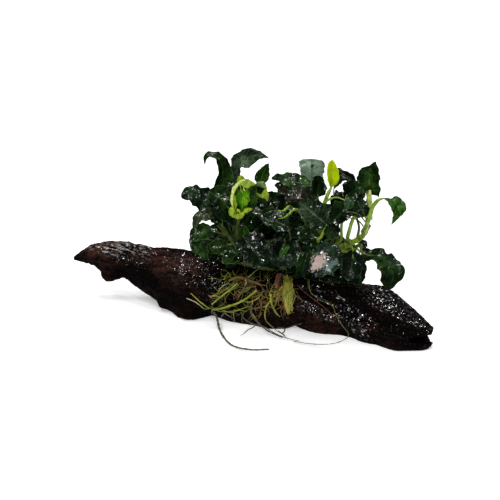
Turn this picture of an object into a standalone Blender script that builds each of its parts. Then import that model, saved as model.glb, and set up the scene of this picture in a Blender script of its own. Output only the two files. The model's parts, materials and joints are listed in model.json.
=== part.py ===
"""A small anubias with curled leaves growing on a piece of driftwood.

The wood lies along X on a flat underside at z = 0, with its front towards -Y. The rhizome creeps over the top of
the wood, the leaves grow from it and from its three shoots, and the roots run down the front of the wood.
Every length is in millimetres until a mesh is written, where it becomes metres.
"""

import math

import bmesh
import bpy
from mathutils import Vector
from mathutils.bvhtree import BVHTree

# Driving dimensions, in millimetres
MM = 0.001
WOOD_LENGTH = 285.0
WOOD_LEFT_TIP = -141.0
FLOOR_CUT = 0.0
GAP = 0.35
CLEARANCE = 0.25
STALK_RADIUS = 1.05
STALK_RADIUS_AT_BLADE = 0.85
BLADE_THICKNESS = 0.9
MIDRIB_THICKNESS = 1.5
ROOT_SIDES = 5
STEM_SIDES = 8
WOOD_SIDES = 22
WOOD_STATIONS = 42

# The layout is drawn on a plane that is turned and tilted to face the viewer
VIEW_TURN = math.radians(16.0)
VIEW_TILT = math.radians(25.0)
VIEW_RIGHT = Vector((math.cos(VIEW_TURN), math.sin(VIEW_TURN), 0.0))
VIEW_NEAR = Vector(
    (
        math.sin(VIEW_TURN) * math.cos(VIEW_TILT),
        -math.cos(VIEW_TURN) * math.cos(VIEW_TILT),
        math.sin(VIEW_TILT),
    )
)
VIEW_UP = VIEW_NEAR.cross(VIEW_RIGHT)


def place(across, up, depth):
    """The point seen at across and up on the layout plane, at y = depth."""
    x = (across - depth * VIEW_RIGHT.y) / VIEW_RIGHT.x
    z = (up - x * VIEW_UP.x - depth * VIEW_UP.y) / VIEW_UP.z
    return Vector((x, depth, z))


def facing_vector(right, up, near):
    """A direction given by its shares to the right, upwards and towards the viewer."""
    return (VIEW_RIGHT * right + VIEW_UP * up + VIEW_NEAR * near).normalized()


def smooth_path(points, count):
    """Count points, evenly spaced along a smooth curve through the given points."""
    points = [Vector(p) for p in points]
    ends = [points[0] * 2 - points[1]] + points + [points[-1] * 2 - points[-2]]
    fine = []
    steps = 12
    for a, b, c, d in zip(ends, ends[1:], ends[2:], ends[3:]):
        for step in range(steps):
            t = step / steps
            fine.append(
                (b * 2 + (c - a) * t + (a * 2 - b * 5 + c * 4 - d) * t**2 + (b * 3 - a - c * 3 + d) * t**3) / 2
            )
    fine.append(points[-1])
    lengths = [0.0]
    for a, b in zip(fine, fine[1:]):
        lengths.append(lengths[-1] + (b - a).length)
    result = []
    at = 0
    for number in range(count):
        goal = lengths[-1] * number / (count - 1)
        while at < len(fine) - 2 and lengths[at + 1] < goal:
            at += 1
        share = (goal - lengths[at]) / max(lengths[at + 1] - lengths[at], 1e-9)
        result.append(fine[at].lerp(fine[at + 1], share))
    return result


def tangents(path):
    """The unit direction of a path at each of its points."""
    result = []
    for number in range(len(path)):
        ahead = path[min(number + 1, len(path) - 1)]
        behind = path[max(number - 1, 0)]
        result.append((ahead - behind).normalized())
    return result


def carried_normals(directions, facing, start):
    """Normals that turn as little as possible along a path, and look along facing at the point start."""
    normals = [None] * len(directions)
    normals[start] = (facing - directions[start] * facing.dot(directions[start])).normalized()
    for number in range(start + 1, len(directions)):
        last = normals[number - 1]
        normals[number] = (last - directions[number] * last.dot(directions[number])).normalized()
    for number in range(start - 1, -1, -1):
        last = normals[number + 1]
        normals[number] = (last - directions[number] * last.dot(directions[number])).normalized()
    return normals


def mesh_from_rings(rings, tip=None):
    """A closed bmesh over rings of points, with a flat cap at each end or a point at the last."""
    shape = bmesh.new()
    loops = []
    for ring in rings:
        verts = [shape.verts.new(point) for point in ring]
        loops.append([shape.edges.new((a, b)) for a, b in zip(verts, verts[1:] + verts[:1])])
    for first, second in zip(loops, loops[1:]):
        bmesh.ops.bridge_loops(shape, edges=first + second)
    bmesh.ops.contextual_create(shape, geom=loops[0])
    if tip is None:
        bmesh.ops.contextual_create(shape, geom=loops[-1])
    else:
        cap = bmesh.ops.contextual_create(shape, geom=loops[-1])["faces"]
        middle = bmesh.ops.poke(shape, faces=cap)["verts"][0]
        middle.co = tip
    bmesh.ops.recalc_face_normals(shape, faces=shape.faces)
    return shape


def tube_rings(path, radii, sides):
    """Rings of points around a path, one radius for each of its points."""
    directions = tangents(path)
    normals = carried_normals(directions, facing_vector(0.2, 0.3, 1.0), 0)
    rings = []
    for point, direction, normal, radius in zip(path, directions, normals, radii):
        side = direction.cross(normal)
        ring = []
        for number in range(sides):
            angle = math.tau * number / sides
            ring.append(point + side * math.cos(angle) * radius + normal * math.sin(angle) * radius)
        rings.append(ring)
    return rings


def tree_of(shape):
    """A search tree over a bmesh, to find what touches it."""
    return BVHTree.FromBMesh(shape)


def material(name, colour, roughness):
    """A plain material with a colour and a roughness."""
    result = bpy.data.materials.new(name)
    result.use_nodes = True
    shader = result.node_tree.nodes["Principled BSDF"]
    shader.inputs["Base Color"].default_value = (*colour, 1.0)
    shader.inputs["Roughness"].default_value = roughness
    shader.inputs["Metallic"].default_value = 0.0
    result.diffuse_color = (*colour, 1.0)
    return result


def add_object(name, shape, finish, sharp_angle=40.0):
    """Writes a bmesh in millimetres as a named object in metres, shaded smooth."""
    bmesh.ops.scale(shape, vec=(MM, MM, MM), verts=shape.verts)
    mesh = bpy.data.meshes.new(name)
    shape.to_mesh(mesh)
    shape.free()
    mesh.materials.append(finish)
    mesh.shade_smooth()
    mesh.set_sharp_from_angle(angle=math.radians(sharp_angle))
    result = bpy.data.objects.new(name, mesh)
    bpy.context.scene.collection.objects.link(result)
    return result


# Driftwood: for each x the middle y, the height of the belly, top, bottom, front y and back y
WOOD_SECTIONS = (
    (-141, 8, 26.0, 27.0, 24.8, 6.5, 9.5),
    (-137, 8, 27.2, 31.0, 23.8, 3.5, 12.5),
    (-128, 8, 29.5, 37.0, 22.5, 1.0, 15.0),
    (-119, 8, 32.0, 41.0, 23.0, -1.0, 17.0),
    (-107, 7, 30.5, 42.0, 20.5, -4.0, 18.5),
    (-95, 6, 29.0, 42.4, 16.8, -7.0, 19.0),
    (-79, 4, 24.6, 43.2, 6.6, -11.5, 20.0),
    (-63, 3, 20.0, 44.6, -1.0, -16.5, 22.0),
    (-43, 2, 15.0, 44.0, -11.0, -22.5, 24.0),
    (-26, 1, 18.0, 41.5, -1.0, -20.0, 24.0),
    (-10, 0, 15.0, 40.0, -9.0, -17.5, 23.0),
    (4, 0, 15.0, 38.7, -10.0, -18.5, 22.5),
    (26, 0, 14.0, 38.3, -11.0, -20.0, 22.0),
    (38, 0, 17.0, 37.4, -0.6, -19.0, 21.5),
    (53, 0, 14.0, 36.4, -10.0, -18.0, 21.0),
    (74, -1, 14.0, 36.6, -9.0, -17.0, 19.5),
    (90, -5, 12.0, 37.6, -10.0, -22.5, 16.0),
    (104, -8, 12.0, 38.6, -10.0, -26.0, 12.0),
    (112, -10, 11.0, 36.2, -10.0, -27.5, 9.0),
    (120, -12, 10.0, 31.0, -10.0, -28.0, 6.0),
    (129, -13, 9.5, 24.8, -9.0, -27.0, 2.0),
    (137, -14, 9.5, 20.0, -7.0, -24.5, -4.0),
    (142, -15, 9.8, 17.5, -2.0, -23.0, -8.0),
    (144, -15, 10.5, 15.5, 3.0, -20.5, -10.5),
)
# Lumps of the wood: x, angle round the X axis from the back, radius and height
WOOD_LUMPS = (
    (-111, 248, 8, 9.5),
    (-93, 246, 6, 3.0),
    (-80, 230, 6, 3.2),
    (-68, 224, 6, 3.2),
    (-53, 208, 7, 2.5),
    (-41, 202, 9, 2.0),
    (-104, 100, 12, 1.8),
    (-52, 150, 14, 2.5),
    (-22, 168, 10, 2.5),
    (-6, 196, 8, 2.0),
    (18, 192, 10, 2.5),
    (34, 160, 9, 2.5),
    (56, 172, 9, 3.0),
    (62, 200, 8, 2.0),
    (92, 180, 8, 2.5),
    (100, 118, 14, 2.5),
    (118, 196, 8, 2.5),
    (30, 20, 14, 3.5),
    (-30, 15, 12, 3.5),
    (80, 25, 12, 3.5),
    (-60, 40, 12, 3.0),
    (-100, 20, 10, 2.5),
    (110, 40, 10, 2.0),
)
# Grooves of the wood: the points each passes through as x and angle, its half width and its depth
WOOD_GROOVES = (
    (((-100, 125), (-88, 132), (-74, 138)), 4.5, 3.5),
    (((-78, 168), (-60, 178), (-48, 176)), 4.0, 3.0),
    (((-36, 130), (-30, 165), (-30, 200)), 4.5, 3.0),
    (((43, 130), (63, 147), (83, 157), (113, 151)), 4.5, 5.0),
    (((52, 135), (71, 162), (80, 201)), 3.2, 3.5),
    (((104, 161), (104, 205)), 3.2, 3.0),
    (((-40, 350), (20, 5), (70, 355)), 5.5, 4.0),
    (((-90, 55), (-40, 62), (-5, 58)), 4.5, 3.0),
    (((50, 60), (90, 50), (115, 60)), 4.5, 3.0),
)
# The crack that opens at the right end of the wood, as x and z of its root, upper lip and lower lip
CRACK_FRONT_Y = -45.0
CRACK_AT_FRONT = ((121.0, 9.0), (150.0, 13.5), (150.0, 6.5))
CRACK_BACK_Y = 8.0
CRACK_AT_BACK = ((134.0, 6.0), (150.0, 13.5), (150.0, -8.0))


def wood_section(x):
    """The section of the wood at x, read smoothly between the listed ones."""
    rows = WOOD_SECTIONS
    at = 0
    while at < len(rows) - 2 and rows[at + 1][0] < x:
        at += 1
    share = (x - rows[at][0]) / (rows[at + 1][0] - rows[at][0])
    share = min(max(share, 0.0), 1.0)
    before = rows[max(at - 1, 0)]
    after = rows[min(at + 2, len(rows) - 1)]
    values = []
    for a, b, c, d in zip(before[1:], rows[at][1:], rows[at + 1][1:], after[1:]):
        slope_b = (c - a) / 2
        slope_c = (d - b) / 2
        curve = (
            b * (2 * share**3 - 3 * share**2 + 1)
            + slope_b * (share**3 - 2 * share**2 + share)
            + c * (3 * share**2 - 2 * share**3)
            + slope_c * (share**3 - share**2)
        )
        values.append(min(max(curve, min(b, c)), max(b, c)))
    return values


def wood_base_point(x, angle):
    """The point of the bare wood at x and at an angle from the back over the top to the front."""
    middle, belly, top, bottom, front, back = wood_section(x)
    y_share = math.cos(angle)
    z_share = math.sin(angle)
    side = back - middle if y_share > 0 else middle - front
    height = top - belly if z_share > 0 else belly - bottom
    squareness = 0.86
    y = middle + side * math.copysign(abs(y_share) ** squareness, y_share)
    z = belly + height * math.copysign(abs(z_share) ** squareness, z_share)
    return Vector((x, y, z))


def distance_to_path(point, path):
    """How far a point is from a path of straight stretches."""
    best = math.inf
    for a, b in zip(path, path[1:]):
        along = b - a
        share = min(max((point - a).dot(along) / along.length_squared, 0.0), 1.0)
        best = min(best, (point - a - along * share).length)
    return best


def wood_point(x, angle, lumps, grooves):
    """The point of the wood with its lumps and grooves."""
    base = wood_base_point(x, angle)
    middle, belly = wood_section(x)[:2]
    outwards = (base - Vector((x, middle, belly))).normalized()
    rise = 0.0
    for centre, radius, height in lumps:
        rise += height * math.exp(-(((base - centre).length / radius) ** 2))
    for path, width, depth in grooves:
        rise -= depth * math.exp(-((distance_to_path(base, path) / width) ** 2))
    return base + outwards * rise


def make_driftwood(finish):
    """The whole piece of wood, cut flat underneath, with the crack at its right end."""
    lumps = []
    for x, angle, radius, height in WOOD_LUMPS:
        lumps.append((wood_base_point(x, math.radians(angle)), radius, height))
    grooves = []
    for stops, width, depth in WOOD_GROOVES:
        path = [wood_base_point(x, math.radians(angle)) for x, angle in stops]
        grooves.append((path, width, depth))
    rings = []
    for station in range(WOOD_STATIONS):
        share = station / (WOOD_STATIONS - 1)
        x = WOOD_LEFT_TIP + WOOD_LENGTH * (share - 0.028 * math.sin(math.tau * share))
        ring = []
        for number in range(WOOD_SIDES):
            angle = math.tau * (number + 0.5 * (station % 2)) / WOOD_SIDES
            ring.append(wood_point(x, angle, lumps, grooves))
        rings.append(ring)
    shape = mesh_from_rings(rings)
    cut = bmesh.ops.bisect_plane(
        shape,
        geom=shape.verts[:] + shape.edges[:] + shape.faces[:],
        plane_co=(0, 0, FLOOR_CUT),
        plane_no=(0, 0, 1),
        clear_inner=True,
    )
    rim = [piece for piece in cut["geom_cut"] if isinstance(piece, bmesh.types.BMEdge)]
    bmesh.ops.edgeloop_fill(shape, edges=rim)
    bmesh.ops.triangulate(shape, faces=shape.faces)
    wood = add_object("driftwood", shape, finish)
    crack = wood.modifiers.new("crack", "BOOLEAN")
    crack.operation = "DIFFERENCE"
    crack.solver = "EXACT"
    crack.object = make_crack_cutter()
    return wood


def make_crack_cutter():
    """A thin wedge that opens towards the right end of the wood and runs right through it."""
    rings = [
        [Vector((x, CRACK_FRONT_Y, z)) for x, z in CRACK_AT_FRONT],
        [Vector((x, CRACK_BACK_Y, z)) for x, z in CRACK_AT_BACK],
    ]
    cutter = add_object("crack_cutter", mesh_from_rings(rings), bpy.data.materials["wet wood"])
    cutter.hide_render = True
    cutter.display_type = "WIRE"
    return cutter


# Stems: the points as across, up and depth, and the radius at each
STEMS = {
    "rhizome": (
        ((-14, 42, 0), (0, 39, 0), (15, 36.5, -1), (28, 38, -1), (41, 41, -1))
        + ((54, 45, -2), (71, 52.5, -3), (82, 58.5, -3), (87, 67, -3)),
        (2.2, 3.1, 3.2, 3.3, 3.0, 2.9, 2.9, 2.8, 2.5),
    ),
    "shoot_left": (((-4.5, 44, -1), (-8, 48.5, -3), (-10.5, 54, -4)), (2.7, 2.6, 1.7)),
    "shoot_centre": (((28, 42.7, 1), (27, 48.5, 3), (27.5, 56, 4)), (2.6, 2.4, 1.6)),
    "shoot_middle": (((50, 48.5, -2), (50.5, 55, -1), (51.5, 62, 0)), (2.5, 2.4, 1.6)),
}


def stem_path(name, count):
    """Count points along a named stem."""
    return smooth_path([place(*point) for point in STEMS[name][0]], count)


def stem_radius(name, along):
    """The radius of a stem at a share of its length."""
    radii = STEMS[name][1]
    at = min(along * (len(radii) - 1), len(radii) - 1.001)
    low = int(at)
    return radii[low] + (radii[low + 1] - radii[low]) * (at - low)


def make_stem(name, finish):
    """One stem, with the faint swellings of its joints."""
    count = 4 * (len(STEMS[name][0]) - 1) + 1
    path = stem_path(name, count)
    radii = []
    for number in range(count):
        swelling = 1.0 + 0.05 * math.cos(math.pi * number)
        radii.append(stem_radius(name, number / (count - 1)) * swelling)
    return mesh_from_rings(tube_rings(path, radii, STEM_SIDES))


# Leaves: the stem and the share of its length where the stalk starts, the stalk's and the blade's points as across,
# up and depth, the blade's width, where its upper side faces, how far its sides bend up, and how wavy its edge is
LEAVES = {
    "leaf_left_hook": (
        ("shoot_left", 0.9),
        ((-12, 66, 2), (-14.5, 80, 5)),
        ((-17, 91, 6), (-20, 104, 6), (-25.5, 115, 5), (-31, 117.5, 3), (-35, 112.5, 2)),
        (14.5, (0.5, 0.1, 0.85), 0.25, 0.8, "dark leaf"),
    ),
    "leaf_left_arch": (
        ("shoot_left", 0.7),
        ((-8, 68, 8), (-9.5, 86, 11)),
        ((-10, 99, 11), (-8.5, 109, 10), (-3, 116, 9), (6, 117.5, 7), (14, 117, 5)),
        (17.0, (-0.3, 0.4, 0.9), -0.2, 1.0, "dark leaf"),
    ),
    "leaf_far_left": (
        ("shoot_left", 0.75),
        ((-17, 60, -4), (-26, 71, -5)),
        ((-31, 79, -6), (-38, 86, -8), (-46, 90, -9), (-52.5, 89, -9)),
        (20.5, (-0.1, 0.5, 0.85), 0.15, 1.8, "dark leaf"),
    ),
    "leaf_left_broad": (
        ("shoot_left", 0.95),
        ((-13, 65, 0), (-15, 74, 1)),
        ((-16, 80, 1), (-22, 87, 1), (-31, 92, 1)),
        (20.5, (0.1, 0.3, 0.95), 0.1, 1.0, "dark leaf"),
    ),
    "leaf_left_olive": (
        ("shoot_left", 0.45),
        ((-16, 59, -10), (-24, 72, -14)),
        ((-29, 77, -15), (-37, 77, -17), (-42, 70, -19), (-43.5, 62, -20)),
        (12.0, (-0.6, 0.3, 0.8), 0.2, 0.6, "olive leaf"),
    ),
    "leaf_left_low": (
        ("shoot_left", 0.25),
        ((-14, 53, -12), (-20, 61, -18)),
        ((-25, 65, -20), (-34, 62.5, -24), (-45, 57, -27)),
        (14.5, (-0.1, 0.85, 0.6), 0.1, 1.0, "dark leaf"),
    ),
    "leaf_left_hanging": (
        ("rhizome", 0.05),
        ((-18, 52, -12), (-24, 58, -21)),
        ((-27, 60, -24), (-36, 55, -29), (-34, 42, -30)),
        (17.0, (-0.4, 0.4, 0.9), 0.15, 1.0, "bright leaf"),
    ),
    "leaf_left_inner": (
        ("rhizome", 0.02),
        ((-16, 54, -8), (-18, 64, -20)),
        ((-20, 70, -26), (-24, 74, -28), (-28, 78, -28)),
        (11.0, (0.0, 0.4, 0.95), 0.3, 0.6, "dark leaf"),
    ),
    "leaf_left_cup": (
        ("rhizome", 0.1),
        ((-9, 50, -14), (-13, 55, -22)),
        ((-17, 56, -25), (-22, 52, -29), (-28, 47.5, -31)),
        (14.5, (-0.2, 0.8, 0.6), 0.25, 0.8, "dark leaf"),
    ),
    "leaf_young_curled": (
        ("shoot_left", 1.0),
        ((-10, 60, -10), (-9, 67, -13)),
        ((-8, 72, -14), (-8, 80, -15), (-7, 90, -15), (-3.5, 101, -14)),
        (18.5, (0.1, 0.1, 1.0), 0.45, 0.8, "young leaf"),
    ),
    "leaf_young_folded": (
        ("shoot_left", 0.8),
        ((-5, 62, -8), (-1, 74, -10)),
        ((1, 83, -11), (6, 92, -11), (11, 95, -11), (13.5, 88, -12)),
        (12.0, (0.4, 0.3, 0.9), 0.5, 0.5, "young leaf"),
    ),
    "leaf_small_bright": (
        ("shoot_left", 0.15),
        ((-3, 47, -12), (-2.5, 50, -18)),
        ((-3, 54, -21), (-4, 60, -22), (-5, 67.5, -21)),
        (9.5, (0.0, 0.2, 1.0), 0.3, 0.4, "bright leaf"),
    ),
    "leaf_front_dark": (
        ("rhizome", 0.2),
        ((-3, 48, -12), (-6, 57, -23)),
        ((-5, 59, -27), (1, 51, -33), (7, 43, -35), (12, 36, -35)),
        (25.0, (0.1, 0.5, 0.9), 0.08, 1.2, "dark leaf"),
    ),
    "leaf_pale_tip": (
        ("rhizome", 0.15),
        ((-5, 44, -12), (-5, 44, -20)),
        ((-7, 43, -25), (-14, 42, -28), (-21, 40, -29)),
        (11.0, (0.0, 0.6, 0.8), 0.1, 0.5, "bright leaf"),
    ),
    "leaf_green_triangle": (
        ("shoot_centre", 0.3),
        ((18, 62, 10), (11, 80, 14)),
        ((8, 92, 15), (10, 102, 15), (14, 113.5, 14)),
        (14.5, (-0.2, 0.1, 1.0), 0.15, 0.8, "bright leaf"),
    ),
    "leaf_centre_reach": (
        ("shoot_middle", 0.95),
        ((50, 76, 6), (50, 90, 7)),
        ((48, 96, 7), (38, 103, 6), (27, 106, 6), (16, 104.5, 5)),
        (15.5, (0.1, 0.6, 0.8), 0.1, 1.2, "dark leaf"),
    ),
    "leaf_dark_behind": (
        ("shoot_centre", 0.8),
        ((26, 66, 14), (23.5, 74, 18)),
        ((22, 80, 19), (22, 90, 20), (21, 101, 20)),
        (20.5, (0.0, 0.2, 1.0), 0.1, 1.0, "dark leaf"),
    ),
    "leaf_mottled": (
        ("shoot_middle", 0.6),
        ((46, 66, -4), (45.5, 78, -5)),
        ((43, 83, -6), (34.5, 87, -8), (25, 86, -9)),
        (15.5, (0.0, 0.7, 0.7), 0.1, 1.0, "brown leaf"),
    ),
    "leaf_centre_left": (
        ("shoot_centre", 0.95),
        ((26, 64, -2), (25, 73, -5)),
        ((22, 78, -7), (11, 82, -9), (0, 80.5, -10)),
        (15.5, (0.0, 0.75, 0.65), 0.1, 1.2, "dark leaf"),
    ),
    "leaf_centre_under": (
        ("shoot_middle", 0.3),
        ((46, 58, -12), (42, 76, -17), (36, 80, -18), (27, 75, -18)),
        ((19, 73, -18), (14, 74, -19), (8, 76, -20)),
        (11.0, (0.0, 0.7, 0.7), 0.2, 0.6, "bright leaf"),
    ),
    "leaf_centre_teal": (
        ("shoot_centre", 0.55),
        ((28, 52, -12), (30, 61, -21)),
        ((28, 65, -24), (19, 70, -26), (8, 71.5, -27)),
        (17.0, (0.0, 0.55, 0.85), 0.1, 1.0, "teal leaf"),
    ),
    "leaf_centre_front": (
        ("rhizome", 0.34),
        ((24, 48, -12), (25, 56, -21)),
        ((25.5, 56, -25), (25, 47, -30), (23, 36, -30)),
        (24.0, (0.0, 0.5, 0.9), 0.08, 1.2, "dark leaf"),
    ),
    "leaf_low_middle": (
        ("rhizome", 0.42),
        ((39, 46, -12), (41, 49, -20)),
        ((41.5, 45, -25), (39.5, 37, -27), (37, 29, -27)),
        (12.0, (0.0, 0.4, 0.95), 0.2, 0.6, "dark leaf"),
    ),
    "leaf_silver": (
        ("shoot_middle", 0.75),
        ((49, 78, 11), (48.5, 90, 14)),
        ((48, 96, 14), (47, 106, 14), (45.5, 117, 13)),
        (23.0, (0.0, 0.3, 1.0), 0.05, 1.0, "silver leaf"),
    ),
    "leaf_grey_small": (
        ("shoot_middle", 1.0),
        ((52, 72, -2), (51.5, 82, -3)),
        ((51, 87, -3), (51, 96, -3), (51, 104, -4)),
        (12.0, (0.1, 0.1, 1.0), 0.3, 0.6, "silver leaf"),
    ),
    "leaf_diagonal": (
        ("shoot_middle", 0.4),
        ((51, 55, -12), (56, 64, -17)),
        ((56, 67, -19), (46.5, 75, -21), (36, 84, -20)),
        (21.5, (-0.1, 0.3, 1.0), 0.1, 1.0, "teal leaf"),
    ),
    "leaf_curved_grey": (
        ("shoot_middle", 0.85),
        ((58, 68, -6), (67, 80, -10)),
        ((70.5, 84, -13), (67, 77, -18), (59, 68, -20)),
        (15.5, (0.3, 0.6, 0.8), 0.15, 0.8, "silver leaf"),
    ),
    "leaf_young_upright": (
        ("shoot_middle", 0.98),
        ((53, 70, 0), (57, 82, -1)),
        ((60, 93, -1), (62, 104, -1), (61.5, 116, -2)),
        (12.5, (0.0, 0.0, 1.0), 0.15, 0.4, "lime leaf"),
    ),
    "leaf_dark_arch": (
        ("rhizome", 0.72),
        ((65, 66, 6), (62, 82, 9)),
        ((63, 95, 10), (68, 105, 10), (75, 106.5, 9), (83, 97, 8)),
        (13.0, (-0.1, 0.5, 0.8), 0.1, 0.8, "dark leaf"),
    ),
    "leaf_blue_grey": (
        ("rhizome", 0.63),
        ((58, 60, -14), (57, 80, -22), (64, 87, -22)),
        ((70, 88, -22), (76, 93, -21), (82, 95, -20)),
        (15.5, (0.0, 0.3, 1.0), 0.1, 0.8, "silver leaf"),
    ),
    "leaf_middle_dark": (
        ("rhizome", 0.66),
        ((62, 58, 2), (58, 72, 3)),
        ((60, 79, 2), (68, 82.5, 0), (77, 82, -1)),
        (18.0, (0.0, 0.4, 0.95), 0.1, 1.0, "dark leaf"),
    ),
    "leaf_right_teal": (
        ("rhizome", 0.82),
        ((78, 60, -10), (83, 68, -13)),
        ((84, 73, -13), (80, 80.5, -14), (76, 88.5, -14)),
        (13.0, (-0.3, 0.1, 1.0), 0.15, 0.8, "teal leaf"),
    ),
    "leaf_right_droop": (
        ("rhizome", 0.8),
        ((79, 52, -8), (82, 52, -12)),
        ((86, 51, -14), (97, 47.5, -20), (105.5, 39, -25), (107, 29, -28), (102.5, 19, -30)),
        (20.5, (0.4, 0.6, 0.8), 0.1, 1.4, "dark leaf"),
    ),
    "leaf_right_shiny": (
        ("rhizome", 0.7),
        ((72, 51, -14), (75, 52, -20)),
        ((75, 49, -24), (74, 38, -28), (71.5, 26, -29)),
        (17.0, (0.0, 0.4, 0.95), 0.1, 1.0, "dark leaf"),
    ),
    "leaf_right_hanging": (
        ("rhizome", 0.76),
        ((78, 49, -12), (80, 50, -16)),
        ((81, 46, -19), (84, 35, -23), (85, 23, -25)),
        (13.0, (0.3, 0.4, 0.9), 0.15, 0.8, "dark leaf"),
    ),
    "leaf_patched": (
        ("rhizome", 0.6),
        ((64, 51, -14), (67, 53, -20)),
        ((66, 50, -25), (55.5, 41, -29), (44, 32, -30)),
        (24.0, (-0.1, 0.4, 0.95), 0.05, 1.0, "patched leaf"),
    ),
    "leaf_upper_right": (
        ("rhizome", 0.99),
        ((86.5, 78, 1), (87, 87, 3)),
        ((87.5, 91, 3), (89, 103, 3), (93.5, 115, 2)),
        (21.0, (-0.1, 0.2, 1.0), 0.1, 1.2, "dark leaf"),
    ),
    "leaf_far_right": (
        ("rhizome", 0.95),
        ((91, 79, -5), (96, 86.5, -6)),
        ((101, 87.5, -7), (108, 85, -8), (110.5, 78, -9), (106, 68, -10)),
        (14.0, (0.3, 0.5, 0.9), 0.1, 1.2, "bright leaf"),
    ),
    "leaf_back_left": (
        ("shoot_left", 0.35),
        ((-10, 56, 12), (-13, 66, 20)),
        ((-15, 72, 24), (-18, 76, 30), (-20, 75, 37)),
        (18.0, (0.0, 1.0, -0.6), 0.1, 1.2, "dark leaf"),
    ),
    "leaf_back_centre": (
        ("shoot_centre", 0.5),
        ((18, 60, 16), (13, 72, 24)),
        ((11, 76, 28), (8, 80, 34), (6, 78, 42)),
        (20.5, (0.0, 1.0, -0.6), 0.1, 1.2, "dark leaf"),
    ),
    "leaf_back_middle": (
        ("rhizome", 0.52),
        ((42, 58, 14), (40, 72, 24)),
        ((39, 80, 30), (38, 84, 37), (38, 80, 45)),
        (20.5, (0.0, 1.0, -0.6), 0.1, 1.2, "dark leaf"),
    ),
    "leaf_back_right": (
        ("rhizome", 0.88),
        ((80, 68, 10), (76, 78, 18)),
        ((74, 82, 22), (72, 84, 30), (71, 80, 38)),
        (18.0, (0.2, 1.0, -0.5), 0.1, 1.2, "dark leaf"),
    ),
}
STALK_RINGS = 3
BLADE_RINGS = 7
EDGE_WAVES = 2.5
# The blade's shape: how soon it is widest, and how full it is
BLADE_SKEW = 0.72
BLADE_FULLNESS = 0.6
# A stalk or blade that would cross another bends away in depth, or starts a little further along its stem
DEPTH_STEPS = (0, 1.5, -1.5, 3, -3, 4.5, -4.5, 6, -6, 8, -8, 10, -10, 12, -12)
BOW_STEPS = (0, 2.5, -2.5, 5, -5)
START_STEPS = (0.0, 0.06, -0.06, 0.12, -0.12)


def blade_half_width(width, share):
    """Half of the blade's width at a share of its length."""
    return width / 2 * math.sin(math.pi * share**BLADE_SKEW) ** BLADE_FULLNESS


def stalk_start(stem, along, towards):
    """The point on a stem's surface, at a share of its length, on the side that looks towards a point."""
    path = stem_path(stem, 41)
    directions = tangents(path)
    at = min(max(round(along * 40), 0), 40)
    direction = towards - path[at]
    direction -= directions[at] * direction.dot(directions[at]) * 0.9
    direction.normalize()
    return path[at] + direction * (stem_radius(stem, along) * 1.06 + GAP), direction


def leaf_rings(row, depth_shift, bow, start_shift, extra=0.0):
    """The rings of one leaf, stalk and blade in one, and its tip."""
    (stem, along), stalk, blade, (width, facing, cup, wave, _) = row
    along = min(max(along + start_shift, 0.0), 1.0)
    blade_points = [place(a, u, d + depth_shift) for a, u, d in blade]
    stalk_points = []
    for number, (a, u, d) in enumerate(stalk):
        share = (number + 1) / (len(stalk) + 1)
        stalk_points.append(place(a + bow * math.sin(math.pi * share), u, d + depth_shift * share))
    start, outwards = stalk_start(stem, along, stalk_points[0])
    stalk_points = [start, start + outwards * 2.0] + stalk_points + [blade_points[0]]
    lead = len(stalk_points)
    whole = smooth_path(stalk_points + blade_points[1:], 24 * (lead + len(blade_points)))
    blade_at = min(range(len(whole)), key=lambda number: (whole[number] - blade_points[0]).length)
    stalk_path = smooth_path(whole[: blade_at + 1 : 6] + [whole[blade_at]], STALK_RINGS + 1)[:-1]
    blade_path = smooth_path(whole[blade_at::6] + [whole[-1]], BLADE_RINGS + 1)
    path = stalk_path + blade_path
    directions = tangents(path)
    directions[0] = outwards
    normals = carried_normals(directions, facing_vector(*facing), len(stalk_path) + BLADE_RINGS // 2)
    rings = []
    for number, (point, direction, normal) in enumerate(zip(path[:-1], directions, normals)):
        side = direction.cross(normal)
        share = (number - len(stalk_path)) / BLADE_RINGS
        if share <= 0:
            fall = number / len(stalk_path)
            radius = STALK_RADIUS + (STALK_RADIUS_AT_BLADE - STALK_RADIUS) * fall + extra
            ring = []
            for turn in range(8):
                angle = math.pi - math.tau * turn / 8
                ring.append(point + side * math.cos(angle) * radius + normal * math.sin(angle) * radius)
            rings.append(ring)
            continue
        half = max(blade_half_width(width, share), STALK_RADIUS_AT_BLADE) + extra
        ring = []
        for turn, v in enumerate((-1.0, -0.5, 0.0, 0.5, 1.0, 0.5, 0.0, -0.5)):
            lift = cup * half * v * v
            lift += wave * v * v * math.sin(math.tau * EDGE_WAVES * share + v * 1.3)
            if turn in (1, 3):
                lift += BLADE_THICKNESS / 2 + extra
            if turn in (5, 7):
                lift -= BLADE_THICKNESS / 2 + extra
            if turn == 2:
                lift += extra
            if turn == 6:
                lift -= MIDRIB_THICKNESS * (1.0 - 0.5 * share) + extra
            ring.append(point + side * v * half + normal * lift)
        rings.append(ring)
    return rings, path[-1] + directions[-1] * extra


def grow_leaf(row, grown):
    """One leaf as a bmesh, bent clear of everything that has grown before it."""
    for start_shift in START_STEPS:
        for depth_shift in DEPTH_STEPS:
            for bow in BOW_STEPS:
                trial = mesh_from_rings(*leaf_rings(row, depth_shift, bow, start_shift, CLEARANCE))
                tree = tree_of(trial)
                trial.free()
                if not any(tree.overlap(other) for other in grown):
                    return mesh_from_rings(*leaf_rings(row, depth_shift, bow, start_shift))
    raise ValueError("a leaf finds no room")


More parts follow.
